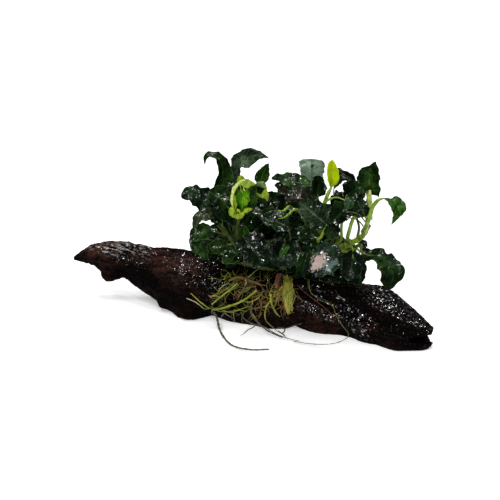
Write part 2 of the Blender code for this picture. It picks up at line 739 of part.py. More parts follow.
# Roots: the points as across and up where they lie on the wood, or with a third value, the depth, where they
# hang free or lie on the floor, then the radius at the start and at the end, and how far the middle bulges
ROOTS = {
    "root_crown": (((27.5, 26), (28, 20), (29, 13), (30, 5)), 2.2, 0.8, 2.6),
    "root_stub": (((21.5, 29), (20.8, 24.5), (20.3, 19.5)), 1.6, 1.2, 0.3),
    "root_main_left": (((5.5, 19), (-4, 12), (-16, 7.5), (-27, 5.5)), 1.2, 1.0, 0.0),
    "root_left_upper": (((-30, 6), (-35, 9), (-44, 17)), 0.8, 0.5, 0.0),
    "root_front_drop": (
        ((-27, 2.5, -22), (-24.5, -2, -26), (-23, -9, -33), (-20, -15, -42), (-16, -20.5, -51))
        + ((-10, -22.5, -57), (1, -24.3, -60), (14, -24, -58)),
        1.1,
        0.7,
        0.0,
    ),
    "root_pair": (((-9, 24), (-21, 15), (-28, 9)), 0.9, 0.7, 0.0),
    "root_orange": (((-16, 25.5), (-8, 28.5), (-2, 26.5), (9, 22.5)), 0.9, 0.7, 0.0),
    "root_low_drop": (((2, 9), (1.5, 2), (6, -5, -22), (13, -11, -30), (24, -15.8, -33)), 0.9, 0.7, 0.0),
    "root_right_drop": (((16, 16), (17, 8), (21, 1)), 0.9, 0.6, 0.0),
    "root_loop": (
        ((43, 30), (44.5, 20), (51, 14), (60, 8), (64, 0), (68, -7, -22))
        + ((72.5, -13, -30), (69, -17, -37), (60, -20, -41), (46, -20.3, -39), (32, -18.5, -37)),
        0.9,
        0.7,
        0.0,
    ),
}
ROOT_STEP = 5.0
LIFT_STEPS = (0.0, 0.5, 1.0, 1.5, 2.0, 2.8, 3.6, 4.5, 5.5, 6.5)


def on_wood(across, up, wood_tree):
    """The point of the wood's surface seen at across and up, and its outward normal."""
    start = place(across, up, 0.0) + VIEW_NEAR * 400.0
    hit, normal, _, _ = wood_tree.ray_cast(start, -VIEW_NEAR)
    return hit, normal


def root_path(points, wood_tree, radius, lift):
    """The way of one root over the wood, and beside it where its depth is given."""
    spots = []
    for point in points:
        if len(point) == 3:
            spot = place(*point)
            spot.z = max(spot.z, radius + 0.1)
            spots.append(spot)
            continue
        hit, normal = on_wood(*point, wood_tree)
        spots.append(hit + normal * (radius + GAP + lift))
    length = sum((b - a).length for a, b in zip(spots, spots[1:]))
    path = smooth_path(spots, max(round(length / ROOT_STEP), 3) + 1)
    result = []
    for spot in path:
        near, normal, _, away = wood_tree.find_nearest(spot)
        needed = radius + GAP + lift
        inside = (spot - near).dot(normal) < 0
        if inside:
            spot = near + normal * needed
        elif away < needed:
            spot = near + (spot - near).normalized() * needed
        spot.z = max(spot.z, radius + 0.1)
        result.append(spot)
    return result


def grow_root(row, wood_tree, grown):
    """One root as a bmesh, lifted clear of everything that has grown before it."""
    points, first, last, bulge = row
    sides = STEM_SIDES if bulge else ROOT_SIDES
    for lift in LIFT_STEPS:
        path = root_path(points, wood_tree, first, lift)
        shapes = []
        for extra in (CLEARANCE / 2, 0.0):
            radii = []
            for number in range(len(path)):
                share = number / (len(path) - 1)
                radii.append(first + (last - first) * share + bulge * math.sin(math.pi * share) + extra)
            shapes.append(mesh_from_rings(tube_rings(path, radii, sides)))
        trial, root = shapes
        tree = tree_of(trial)
        trial.free()
        if not any(tree.overlap(other) for other in grown):
            return root
        root.free()
    raise ValueError("a root finds no room")


SHEATH = (((87.3, 71, -4), (86.6, 80, -4.5), (87.2, 92, -5)), (1.7, 2.0, 0.6))

FINISHES = {
    "wet wood": ((0.020, 0.013, 0.010), 0.3),
    "stem green": ((0.20, 0.26, 0.06), 0.4),
    "pale sheath": ((0.62, 0.66, 0.25), 0.4),
    "dark leaf": ((0.020, 0.065, 0.024), 0.2),
    "bright leaf": ((0.06, 0.19, 0.03), 0.25),
    "olive leaf": ((0.09, 0.11, 0.04), 0.3),
    "teal leaf": ((0.05, 0.14, 0.08), 0.2),
    "silver leaf": ((0.12, 0.19, 0.13), 0.2),
    "brown leaf": ((0.08, 0.07, 0.04), 0.3),
    "patched leaf": ((0.10, 0.09, 0.09), 0.25),
    "young leaf": ((0.36, 0.50, 0.06), 0.3),
    "lime leaf": ((0.50, 0.62, 0.01), 0.35),
    "root tan": ((0.36, 0.34, 0.10), 0.45),
}


def main():
    """Clears the scene and builds every piece in order."""
    for old in list(bpy.data.objects):
        bpy.data.objects.remove(old, do_unlink=True)
    finishes = {name: material(name, *values) for name, values in FINISHES.items()}

    wood = make_driftwood(finishes["wet wood"])
    shape = bmesh.new()
    shape.from_mesh(wood.data)
    bmesh.ops.scale(shape, vec=(1 / MM, 1 / MM, 1 / MM), verts=shape.verts)
    wood_tree = tree_of(shape)
    shape.free()
    grown = [wood_tree]

    for name in STEMS:
        shape = make_stem(name, finishes["stem green"])
        grown.append(tree_of(shape))
        add_object(name, shape, finishes["stem green"])

    path = smooth_path([place(*point) for point in SHEATH[0]], 5)
    radii = (SHEATH[1][0], 2.0, SHEATH[1][1], 1.5, SHEATH[1][2])
    shape = mesh_from_rings(tube_rings(path, radii, STEM_SIDES))
    grown.append(tree_of(shape))
    add_object("sheath", shape, finishes["pale sheath"])

    for name, row in ROOTS.items():
        shape = grow_root(row, wood_tree, grown)
        grown.append(tree_of(shape))
        add_object(name, shape, finishes["root tan"])

    for name, row in LEAVES.items():
        shape = grow_leaf(row, grown)
        grown.append(tree_of(shape))
        add_object(name, shape, finishes[row[3][4]])


main()
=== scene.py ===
"""A small anubias on a piece of dark driftwood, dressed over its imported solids.

The leaves, stems and roots are read back from their solids as middle lines and rings, and each gets a fine
skin in the same place. Lengths are in millimetres until a mesh is written, where they become metres.
"""

import json
import logging
import math
import random
from dataclasses import dataclass, field, replace
from enum import Enum
from typing import Any, Union

import bmesh
import bpy
import numpy as np
from mathutils import Matrix, Vector, noise
from mathutils.bvhtree import BVHTree

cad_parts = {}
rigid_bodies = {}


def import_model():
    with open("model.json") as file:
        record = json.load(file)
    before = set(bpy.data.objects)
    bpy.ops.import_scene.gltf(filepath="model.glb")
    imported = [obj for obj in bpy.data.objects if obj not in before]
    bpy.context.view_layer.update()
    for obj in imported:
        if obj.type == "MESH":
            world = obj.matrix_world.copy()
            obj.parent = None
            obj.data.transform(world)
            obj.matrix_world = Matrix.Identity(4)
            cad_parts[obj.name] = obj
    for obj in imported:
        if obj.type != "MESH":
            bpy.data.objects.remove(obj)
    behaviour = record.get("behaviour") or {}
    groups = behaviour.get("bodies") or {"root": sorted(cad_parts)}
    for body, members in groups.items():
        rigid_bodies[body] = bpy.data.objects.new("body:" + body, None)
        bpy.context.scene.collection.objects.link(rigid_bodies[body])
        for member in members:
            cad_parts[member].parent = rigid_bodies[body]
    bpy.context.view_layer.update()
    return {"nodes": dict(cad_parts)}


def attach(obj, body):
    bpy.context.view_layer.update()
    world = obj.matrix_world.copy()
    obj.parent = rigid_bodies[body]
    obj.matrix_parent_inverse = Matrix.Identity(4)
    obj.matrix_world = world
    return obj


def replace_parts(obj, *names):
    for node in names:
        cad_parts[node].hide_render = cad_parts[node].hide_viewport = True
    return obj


LOG = logging.getLogger("anubias")
MM = 0.001
UV_NAME = "skin"
SHARP_ANGLE = math.radians(60.0)
Points = Union[list[Vector], np.ndarray]

# The five places across a blade at which its net has points, from the left margin to the right one
ACROSS = (-1.0, -0.5, 0.0, 0.5, 1.0)

# How many side veins a blade has, and how far they slant towards the tip
VEINS = 9.0
VEIN_SLANT = 2.2

# How far apart a stalk's rings are, and how many sides they have
STALK_STEP = 1.1
STALK_SIDES = 10

# The layout is drawn in small squares on a plane that is turned and tilted to face the viewer
SQUARE = 0.75
MIDDLE_COLUMN = 250.0
FLOOR_ROW = 315.0
TARGET_UP = 48.75
DISTANCE = 2500.0
VIEW_TURN = math.radians(16.0)
VIEW_TILT = math.radians(25.0)
VIEW_RIGHT = Vector((math.cos(VIEW_TURN), math.sin(VIEW_TURN), 0.0))
VIEW_NEAR = Vector(
    (
        math.sin(VIEW_TURN) * math.cos(VIEW_TILT),
        -math.cos(VIEW_TURN) * math.cos(VIEW_TILT),
        math.sin(VIEW_TILT),
    )
)
VIEW_UP = VIEW_NEAR.cross(VIEW_RIGHT)
EYE = VIEW_UP * TARGET_UP + VIEW_NEAR * DISTANCE


def sight(column: float, row: float) -> Vector:
    """The point of the layout's paper at a square."""
    return VIEW_RIGHT * ((column - MIDDLE_COLUMN) * SQUARE) + VIEW_UP * ((FLOOR_ROW - row) * SQUARE)


def square(column: float, row: float, depth: float) -> Vector:
    """The point seen at a square of the layout's paper whose y is the depth."""
    flat = sight(column, row)
    return EYE + (flat - EYE) * ((depth - EYE.y) / (flat.y - EYE.y))


def square_at(column: float, row: float, height: float) -> Vector:
    """The point seen at a square of the layout's paper that lies at a height above the floor."""
    flat = sight(column, row)
    return EYE + (flat - EYE) * ((height - EYE.z) / (flat.z - EYE.z))


def facing(right: float, up: float, near: float) -> Vector:
    """The direction with these shares to the right, upwards and towards the viewer."""
    return (VIEW_RIGHT * right + VIEW_UP * up + VIEW_NEAR * near).normalized()


# Where the first normal of a tube looks
RING_START = facing(0.2, 0.3, 1.0)


def paper_direction(degrees: float) -> Vector:
    """The direction on the layout's paper at an angle from right towards up."""
    turn = math.radians(degrees)
    return VIEW_RIGHT * math.cos(turn) + VIEW_UP * math.sin(turn)


# Smooth lines, tubes and meshes


def spline_weights(knots: int, samples: int) -> np.ndarray:
    """Weights that draw a smooth curve through evenly spaced knots.

    Args:
        knots: how many points the curve passes through.
        samples: how many points are read along it, ends included.

    Returns:
        An array of samples by knots.
    """
    weights = np.zeros((samples, knots + 2))
    for number in range(samples):
        at = number / (samples - 1) * (knots - 1)
        low = min(int(at), knots - 2)
        t = at - low
        weights[number, low] = (-t + 2 * t**2 - t**3) / 2
        weights[number, low + 1] = (2 - 5 * t**2 + 3 * t**3) / 2
        weights[number, low + 2] = (t + 4 * t**2 - 3 * t**3) / 2
        weights[number, low + 3] = (-(t**2) + t**3) / 2
    result = weights[:, 1:-1].copy()
    result[:, 0] += weights[:, 0] * 2
    result[:, 1] -= weights[:, 0]
    result[:, -1] += weights[:, -1] * 2
    result[:, -2] -= weights[:, -1]
    return result


def smooth_line(points: Points, samples: int) -> np.ndarray:
    """Evenly spaced points along a smooth curve.

    Args:
        points: the points that the curve passes through.
        samples: how many points to read.

    Returns:
        An array of samples by 3.
    """
    knots = np.array([tuple(point) for point in points], float)
    fine = spline_weights(len(knots), 16 * len(knots)) @ knots
    steps = np.linalg.norm(np.diff(fine, axis=0), axis=1)
    lengths = np.concatenate(([0.0], np.cumsum(steps)))
    goals = np.linspace(0.0, lengths[-1], samples)
    return np.stack([np.interp(goals, lengths, fine[:, axis]) for axis in range(3)], axis=1)


def unit(vectors: np.ndarray) -> np.ndarray:
    """The same vectors at length 1."""
    return vectors / np.maximum(np.linalg.norm(vectors, axis=-1, keepdims=True), 1e-12)


def frames_along(line: np.ndarray, towards: Vector) -> tuple[np.ndarray, np.ndarray, np.ndarray]:
    """Directions, sides and normals that turn as little as possible along a line.

    Args:
        line: the points of the line.
        towards: where the first normal looks.

    Returns:
        Three arrays: directions, sides and normals.
    """
    directions = unit(np.gradient(line, axis=0))
    normals = np.zeros_like(directions)
    last = np.array(towards, float)
    for number, direction in enumerate(directions):
        last = last - direction * last.dot(direction)
        last = last / max(np.linalg.norm(last), 1e-9)
        normals[number] = last
    return directions, np.cross(directions, normals), normals


def tube_points(line: np.ndarray, radii: np.ndarray, sides: int) -> np.ndarray:
    """Rings of points round a line.

    Args:
        line: the middle line.
        radii: the radius of each ring.
        sides: how many points each ring has.

    Returns:
        An array of rings by sides by 3.
    """
    _, across, normals = frames_along(line, RING_START)
    angles = np.arange(sides) * math.tau / sides
    ring = np.cos(angles)[None, :, None] * across[:, None] + np.sin(angles)[None, :, None] * normals[:, None]
    return line[:, None] + ring * radii[:, None, None]


def lumpy_tube(line: np.ndarray, radii: np.ndarray, sides: int, depth: float, size: float) -> np.ndarray:
    """Rings round a line with lumps in them.

    Args:
        line: the tube's middle line.
        radii: its radii.
        sides: how many points each ring has.
        depth: the depth of the lumps as a share of the radius.
        size: how wide the lumps are.

    Returns:
        An array of rings by sides by 3.
    """
    points = tube_points(line, radii, sides)
    for ring, centre in zip(points, line):
        for turn in range(sides):
            ring[turn] += (ring[turn] - centre) * depth * noise.noise(Vector(ring[turn]) / size)
    return points


def wrap(points: np.ndarray) -> bmesh.types.BMesh:
    """Bends a flat grid into a closed skin.

    Args:
        points: rings by points round each ring by 3.

    Returns:
        A closed bmesh whose UV map runs along the rings and then round them.
    """
    rings, around = points.shape[:2]
    shape = bmesh.new()
    shape.loops.layers.uv.new(UV_NAME)
    bmesh.ops.create_grid(shape, x_segments=rings - 1, y_segments=around, size=0.5, calc_uvs=True)
    for vert in shape.verts:
        ring = round((vert.co.x + 0.5) * (rings - 1))
        turn = round((vert.co.y + 0.5) * around) % around
        vert.co = points[ring, turn]
    bmesh.ops.remove_doubles(shape, verts=shape.verts, dist=1e-4)
    rim = [edge for edge in shape.edges if edge.is_boundary]
    if rim:
        bmesh.ops.holes_fill(shape, edges=rim, sides=0)
    bmesh.ops.recalc_face_normals(shape, faces=shape.faces)
    return shape


def tube(points: Points, radii: list[float], step: float, sides: int) -> bmesh.types.BMesh:
    """A closed tube along a smooth line.

    Args:
        points: the points that the tube passes through.
        radii: radii spread evenly from its start to its end.
        step: the distance between its rings.
        sides: how many sides it has.

    Returns:
        The tube as a bmesh.
    """
    knots = np.array([tuple(point) for point in points], float)
    length = np.linalg.norm(np.diff(knots, axis=0), axis=1).sum()
    rings = max(round(length / step), 3) + 1
    line = smooth_line(knots, rings)
    wanted = np.interp(np.linspace(0, 1, rings), np.linspace(0, 1, len(radii)), radii)
    return wrap(tube_points(line, wanted, sides))


def scaled(shape: bmesh.types.BMesh, factor: float) -> None:
    """Scales a shape about the origin."""
    bmesh.ops.scale(shape, vec=(factor, factor, factor), verts=shape.verts)


def mesh_of(shape: bmesh.types.BMesh, name: str) -> bpy.types.Mesh:
    """Writes a shape as a mesh, and frees it.

    Args:
        shape: the shape.
        name: the mesh's name.

    Returns:
        The new mesh.
    """
    mesh = bpy.data.meshes.new(name)
    shape.to_mesh(mesh)
    shape.free()
    return mesh


def linked(name: str, data: Any) -> bpy.types.Object:
    """A new object of the scene for a mesh, a camera or a light.

    Args:
        name: the object's name.
        data: the mesh, the camera or the light.

    Returns:
        The new object.
    """
    result = bpy.data.objects.new(name, data)
    bpy.context.scene.collection.objects.link(result)
    return result


class Skin:
    """A mesh that gathers several closed shapes, each with its own material."""

    def __init__(self) -> None:
        """Starts with nothing in it."""
        self.shape = bmesh.new()
        self.shape.loops.layers.uv.new(UV_NAME)

    def add(self, part: bmesh.types.BMesh, material: int = 0) -> None:
        """Adds a closed shape, and frees it.

        Args:
            part: the shape to add.
            material: the number of its material.
        """
        for face in part.faces:
            face.material_index = material
        carrier = mesh_of(part, "carrier")
        self.shape.from_mesh(carrier)
        bpy.data.meshes.remove(carrier)

    def tree(self) -> BVHTree:
        """A search tree over what has been added."""
        return BVHTree.FromBMesh(self.shape)

    def finish(self, name: str, materials: list[bpy.types.Material], slot: str) -> bpy.types.Object:
        """Writes the mesh as an object in metres that rides on the plant's one body.

        Args:
            name: the object's name.
            materials: its materials, in the order of their numbers.
            slot: the record's material slot; it is not used.

        Returns:
            The new object.
        """
        scaled(self.shape, MM)
        mesh = mesh_of(self.shape, name)
        for material in materials:
            mesh.materials.append(material)
        mesh.shade_smooth()
        mesh.set_sharp_from_angle(angle=SHARP_ANGLE)
        result = linked(name, mesh)
        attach(result, "root")
        LOG.info("%s: %d faces", name, len(mesh.polygons))
        return result


# Shader building


class Link:
    """A value in a shader, with the arithmetic that is used on it."""

    def __init__(self, paint: "Paint", socket: bpy.types.NodeSocket) -> None:
        """Wraps one output socket."""
        self.paint = paint
        self.socket = socket

    def __add__(self, other: "Value") -> "Link":
        """The sum."""
        return self.paint.math("ADD", self, other)

    def __sub__(self, other: "Value") -> "Link":
        """The difference."""
        return self.paint.math("SUBTRACT", self, other)

    def __mul__(self, other: "Value") -> "Link":
        """The product."""
        return self.paint.math("MULTIPLY", self, other)

    def __truediv__(self, other: "Value") -> "Link":
        """The quotient."""
        return self.paint.math("DIVIDE", self, other)

    def __pow__(self, other: "Value") -> "Link":
        """The power."""
        return self.paint.math("POWER", self, other)

    def __radd__(self, other: float) -> "Link":
        """The sum, with a number first."""
        return self.paint.math("ADD", other, self)

    def __rsub__(self, other: float) -> "Link":
        """The difference, with a number first."""
        return self.paint.math("SUBTRACT", other, self)

    def __rmul__(self, other: float) -> "Link":
        """The product, with a number first."""
        return self.paint.math("MULTIPLY", other, self)

    def size(self) -> "Link":
        """The value without its sign."""
        return self.paint.math("ABSOLUTE", self, 0.0)

    def cosine(self) -> "Link":
        """The cosine of the value in radians."""
        return self.paint.math("COSINE", self, 0.0)

    def band(self, low: float, high: float) -> "Link":
        """0 below low and 1 above high, with a soft step between, or the reverse when low is the larger.

        Args:
            low: where the step begins.
            high: where it ends.

        Returns:
            A link to the step's value.
        """
        settings = {"interpolation_type": "SMOOTHSTEP"}
        inputs = {"Value": self, "From Min": low, "From Max": high}
        return self.paint.node("ShaderNodeMapRange", settings, inputs)


Value = Union[Link, float]
Colour = tuple[float, float, float]


class Paint:
    """One material, and the nodes that make its pattern."""

    def __init__(self, name: str, **constants: float) -> None:
        """Starts a material.

        Args:
            name: the material's name.
            constants: values of the shader's sockets that are the same all over the surface.
        """
        self.material = bpy.data.materials.new(name)
        self.material.use_nodes = True
        self.tree = self.material.node_tree
        self.shader = self.tree.nodes["Principled BSDF"]
        for socket, value in constants.items():
            self.shader.inputs[socket.replace("_", " ")].default_value = value

    def node(self, kind: str, settings: dict[str, Any], inputs: dict[Any, Any], out: Any = 0) -> Link:
        """Adds a node.

        Args:
            kind: the node's type.
            settings: its settings, set before its sockets.
            inputs: values or links for its sockets.
            out: the output that is wanted.

        Returns:
            A link to that output.
        """
        made = self.tree.nodes.new(kind)
        for key, value in settings.items():
            setattr(made, key, value)
        for key, value in inputs.items():
            if isinstance(value, Link):
                self.tree.links.new(value.socket, made.inputs[key])
            elif isinstance(value, tuple) and len(value) == 3 and made.inputs[key].type == "RGBA":
                made.inputs[key].default_value = (*value, 1.0)
            else:
                made.inputs[key].default_value = value
        return Link(self, made.outputs[out])

    def math(self, operation: str, first: Value, second: Value) -> Link:
        """A Math node on two values."""
        return self.node("ShaderNodeMath", {"operation": operation}, {0: first, 1: second})

    def mix(self, share: Value, first: Union[Link, Colour], second: Union[Link, Colour]) -> Link:
        """A colour between two others."""
        settings = {"data_type": "RGBA", "clamp_factor": True}
        return self.node("ShaderNodeMix", settings, {0: share, 6: first, 7: second}, 2)

    def object_point(self) -> Link:
        """The point of the surface, in metres."""
        return self.node("ShaderNodeTexCoord", {}, {}, "Object")

    def part(self, vector: Link, axis: str) -> Link:
        """One of the parts X, Y and Z of a vector."""
        return self.node("ShaderNodeSeparateXYZ", {}, {0: vector}, axis)

    def stretched(self, point: Link, scale: tuple[float, float, float]) -> Link:
        """A point with its three parts scaled."""
        return self.node("ShaderNodeVectorMath", {"operation": "MULTIPLY"}, {0: point, 1: scale})

    def noise(self, point: Link, size_mm: float, detail: float = 2.0, distortion: float = 0.0) -> Link:
        """Smooth noise from 0 to 1 with lumps of about size_mm."""
        inputs = {"Vector": point, "Scale": 1.0 / (size_mm * MM), "Detail": detail, "Distortion": distortion}
        return self.node("ShaderNodeTexNoise", {}, inputs, "Fac")

    def cells(self, point: Link, size_mm: float) -> Link:
        """The distance to the nearest of scattered points about size_mm apart."""
        inputs = {"Vector": point, "Scale": 1.0 / (size_mm * MM)}
        return self.node("ShaderNodeTexVoronoi", {}, inputs, "Distance")

    def facing_up(self) -> Link:
        """1 where the surface looks up, where water stays on it, and 0 where it looks down."""
        normal = self.node("ShaderNodeNewGeometry", {}, {}, "Normal")
        return self.part(normal, "Z").band(0.15, 0.42)

    def along_and_around(self) -> tuple[Link, Link]:
        """The two parts of the skin's own UV map."""
        uv = self.node("ShaderNodeUVMap", {"uv_map": UV_NAME}, {})
        return self.part(uv, "X"), self.part(uv, "Y")

    def bump(self, height: Link, depth_mm: float, strength: float = 1.0) -> Link:
        """A Bump node for a height from 0 to 1."""
        inputs = {"Height": height, "Distance": depth_mm * MM, "Strength": strength}
        return self.node("ShaderNodeBump", {}, inputs)

    def surface(self, **links: Link) -> bpy.types.Material:
        """Joins the links to the shader's sockets.

        Args:
            links: links by socket, with underscores for the spaces in its name.

        Returns:
            The finished material.
        """
        for socket, link in links.items():
            self.tree.links.new(link.socket, self.shader.inputs[socket.replace("_", " ")])
        return self.material


# Finishes


@dataclass(frozen=True)
class WetWoodFinish:
    """Dark bogwood, wet and glossy, with furrows along the grain, fine pits and pale painted highlights."""

    dark: Colour = (0.0018, 0.0012, 0.0011)
    red: Colour = (0.011, 0.0040, 0.0030)
    warm: Colour = (0.042, 0.017, 0.011)
    # Pale paints highlights: a faint glint tint on the wet spots, and streaks at the upper left end
    pale: Colour = (0.30, 0.26, 0.25)
    groove_height: float = 0.0613
    groove_reach: float = 0.0062

    def dotted_right(self, x: Link, z: Link) -> Link:
        """Where the right end is dotted: all of it but its groove, its flank, its lower edge and its tail.

        Args:
            x: how far right the surface lies, in metres.
            z: how high it lies, in metres.

        Returns:
            A link to 1 where it is dotted and 0 where it is bare.
        """
        slope = z + x * 0.36 - self.groove_height
        groove = (1 - (slope / self.groove_reach) ** 2.0).band(0.0, 0.5) * x.band(0.048, 0.056)
        flank = x.band(0.092, 0.100) * x.band(0.124, 0.116) * z.band(0.020, 0.014)
        edge = (z + x * 0.30).band(0.036, 0.030)
        tail = x.band(0.112, 0.120) * z.band(0.014, 0.009)
        return x.band(0.035, 0.060) * (1 - groove) * (1 - flank) * (1 - edge) * (1 - tail)

    def material(self) -> bpy.types.Material:
        """Builds the wood's material.

        Returns:
            A material whose pattern comes from noise and from where the surface lies.
        """
        paint = Paint("wet wood", Coat_Roughness=0.16, Coat_IOR=3.0, Specular_IOR_Level=0.01)
        point = paint.object_point()
        x, y, z = (paint.part(point, axis) for axis in "XYZ")
        grain = paint.stretched(point, (0.3, 1.0, 1.0))
        sloping = paint.node("ShaderNodeCombineXYZ", {}, {0: x * 0.07, 1: y, 2: z + x * 0.20})
        leaning = paint.node("ShaderNodeCombineXYZ", {}, {0: x * 0.5, 1: y, 2: z + x * 0.36})
        broad = paint.noise(point, 22.0, 3.0)
        patches = paint.noise(point, 12.0, 2.0)
        furrow = paint.noise(grain, 2.8, 5.0, 0.6)
        fibre = paint.noise(sloping, 1.3, 3.0, 0.3)
        grit = paint.noise(point, 0.85, 3.0)
        pits = paint.cells(point, 2.0)
        beads = paint.cells(leaning, 1.9).band(0.38, 0.26) * paint.noise(point, 2.6, 2.0).band(0.42, 0.50)
        right = self.dotted_right(x, z)
        left_top = x.band(-0.072, -0.088) * z.band(0.034, 0.040)
        middle = (1 - ((x + 0.036) / 0.026) ** 2.0).band(0.0, 0.6) * z.band(0.008, 0.016)
        worn = x.band(-0.020, -0.045) * z.band(0.026, 0.038) * broad.band(0.36, 0.56)
        calm = x.band(-0.030, -0.045) * z.band(0.030, 0.024)
        brown = x.band(0.038, 0.048) * x.band(0.078, 0.066) * z.band(0.034, 0.026) * broad.band(0.40, 0.56)
        colour = paint.mix(broad.band(0.42, 0.62) * furrow.band(0.38, 0.62), self.dark, self.red)
        colour = paint.mix(worn * furrow.band(0.36, 0.60) * 0.8, colour, self.warm)
        colour = paint.mix(brown * furrow.band(0.40, 0.60) * 0.32, colour, self.warm)
        shine = patches * 0.5 + right * 0.40 + middle * 0.24 - calm * 0.45
        wet = paint.facing_up() * 0.85 + 0.15
        # Painted highlight: pale glint dots in the pits of faces that look up, used only in the colour
        painted_glint_dots = (grit + shine * 0.10).band(0.75, 0.78) * pits.band(0.2, 0.45) * wet
        beads = beads * right * patches.band(0.30, 0.44)
        # Painted highlight: an 8% pale tint of glints on the dots and on the glossy beads
        colour = paint.mix((painted_glint_dots + beads).band(0.0, 1.0) * 0.08, colour, self.pale)
        # Painted highlight: pale streaks along the grain at the upper left end, also given a little coat
        streaks = fibre.band(0.52, 0.62) * left_top
        colour = paint.mix(streaks * 0.5, colour, self.pale)
        normal = paint.bump(furrow * 0.6 + grit * 0.4 + pits.band(0.0, 0.45) * 0.6, 1.8)
        return paint.surface(
            Base_Color=colour,
            Roughness=0.40 + grit * 0.25,
            Coat_Weight=(grit + shine * 0.16).band(0.675, 0.705) * wet * 0.8 + streaks * 0.3 + beads,
            Normal=normal,
        )


@dataclass(frozen=True)
class Blemish:
    """A patch of another colour on a blade: its place and reach, each along and across, and its colour."""

    along: float
    across: float
    reach_along: float
    reach_across: float
    colour: Colour


@dataclass(frozen=True)
class LeafFinish:
    """The skin of a blade: its colours, how glossy it is, and any patches."""

    name: str
    slot: str
    deep: Colour
    light: Colour
    vein: Colour
    margin: Colour
    under: Colour
    # lit is a painted light colour, for the brighter patches laid on by noise
    lit: Colour
    roughness: float = 0.22
    gloss: float = 0.75
    vein_strength: float = 0.15
    midrib: float = 0.55
    crinkle: float = 0.4
    soaked: float = 0.0
    blemishes: tuple[Blemish, ...] = ()

    def material(self) -> bpy.types.Material:
        """Builds the blade's material.

        Returns:
            A material whose pattern comes from noise and from where the surface lies.
        """
        paint = Paint(self.name, Coat_Roughness=0.10, Coat_IOR=2.40, Specular_IOR_Level=0.01)
        point = paint.object_point()
        along, around = paint.along_and_around()
        across = 0.0 - (around * math.tau).cosine()
        away = across.size()
        upper = around.band(0.505, 0.495)
        broad = paint.noise(point, 9.0, 2.0)
        crease = paint.noise(point, 3.8, 1.0, 0.8)
        fine = paint.noise(point, 1.6, 3.0)
        wet = paint.noise(point, 5.5, 2.0, 0.6)
        # Painted light: lighter patches of the lit colour, placed by noise
        glow = paint.noise(point, 21.0, 1.0).band(0.50, 0.66)
        colour = paint.mix(broad.band(0.35, 0.7), self.deep, self.light)
        colour = paint.mix(glow * 0.75, colour, self.lit)
        ribs = ((along * VEINS - away * VEIN_SLANT) * math.tau).cosine() * 0.5 + 0.5
        ribs = ribs**10.0 * away.band(1.0, 0.7)
        lines = self.vein_strength * ribs + self.midrib * away.band(0.12, 0.03)
        colour = paint.mix(lines, colour, self.vein)
        # Painted shade: darker in the creases, where the bump's height is low
        colour = paint.mix(crease.band(0.54, 0.36) * 0.75, colour, self.deep)
        colour = paint.mix(fine.band(0.45, 0.75) * 0.35, colour, self.deep)
        colour = paint.mix(away.band(0.93, 0.995) * 0.6, colour, self.margin)
        for spot in self.blemishes:
            far_along = ((along - spot.along) / spot.reach_along) ** 2.0
            far_across = ((across - spot.across) / spot.reach_across) ** 2.0
            inside = (far_along + far_across + (fine - 0.5) * 3.2 + (crease - 0.5) * 3.0).band(1.25, 0.45)
            colour = paint.mix(inside * upper * 0.9, colour, spot.colour)
        colour = paint.mix(upper, self.under, colour)
        normal = paint.bump(crease + ribs * 0.25 + fine * 0.10, 0.9, self.crinkle)
        water = wet.band(0.46, 0.54) * 0.12 + 0.015
        drops = paint.noise(point, 1.3, 2.0).band(0.56, 0.60) * wet.band(0.50, 0.56)
        open_side = paint.facing_up() * (1 - self.soaked) + self.soaked
        return paint.surface(
            Base_Color=colour,
            Roughness=self.roughness + fine * 0.2 + (1 - upper) * 0.15,
            Coat_Weight=open_side * (water + drops * 0.8) * (upper * 0.6 + 0.4) * self.gloss,
            Normal=normal,
        )


@dataclass(frozen=True)
class StemFinish:
    """Stems, stalks and the sheath: a soft green with scars, in bands on the stems.

    A fresh one grows paler towards the plant's right end.
    """

    name: str
    base: Colour
    pale: Colour
    scar: Colour
    bands: float = 0.0
    fresh: bool = False

    def material(self) -> bpy.types.Material:
        """Builds the stem's material.

        Returns:
            A material whose pattern comes from noise and from where the surface lies.
        """
        paint = Paint(self.name, Coat_Roughness=0.12, Coat_IOR=1.5, Specular_IOR_Level=0.10)
        point = paint.object_point()
        along, _ = paint.along_and_around()
        streaks = paint.noise(paint.stretched(point, (1.0, 1.0, 0.35)), 1.6, 3.0)
        blotch = paint.noise(point, 5.0, 2.0)
        if self.fresh:
            x = paint.part(point, "X")
            colour = paint.mix(x.band(0.058, 0.080) + streaks * 0.2, self.base, self.pale)
        else:
            colour = paint.mix(streaks.band(0.35, 0.7), self.base, self.pale)
        colour = paint.mix(blotch.band(0.5, 0.75) * 0.5, colour, self.scar)
        if self.bands:
            rings = (((along * self.bands) * math.tau).cosine() * 0.5 + 0.5) ** 14.0
            colour = paint.mix(rings * 0.8, colour, self.scar)
        return paint.surface(
            Base_Color=colour,
            Roughness=0.3 + blotch * 0.2,
            Coat_Weight=0.2 + blotch * 0.4,
            Normal=paint.bump(streaks, 0.35, 0.6),
        )


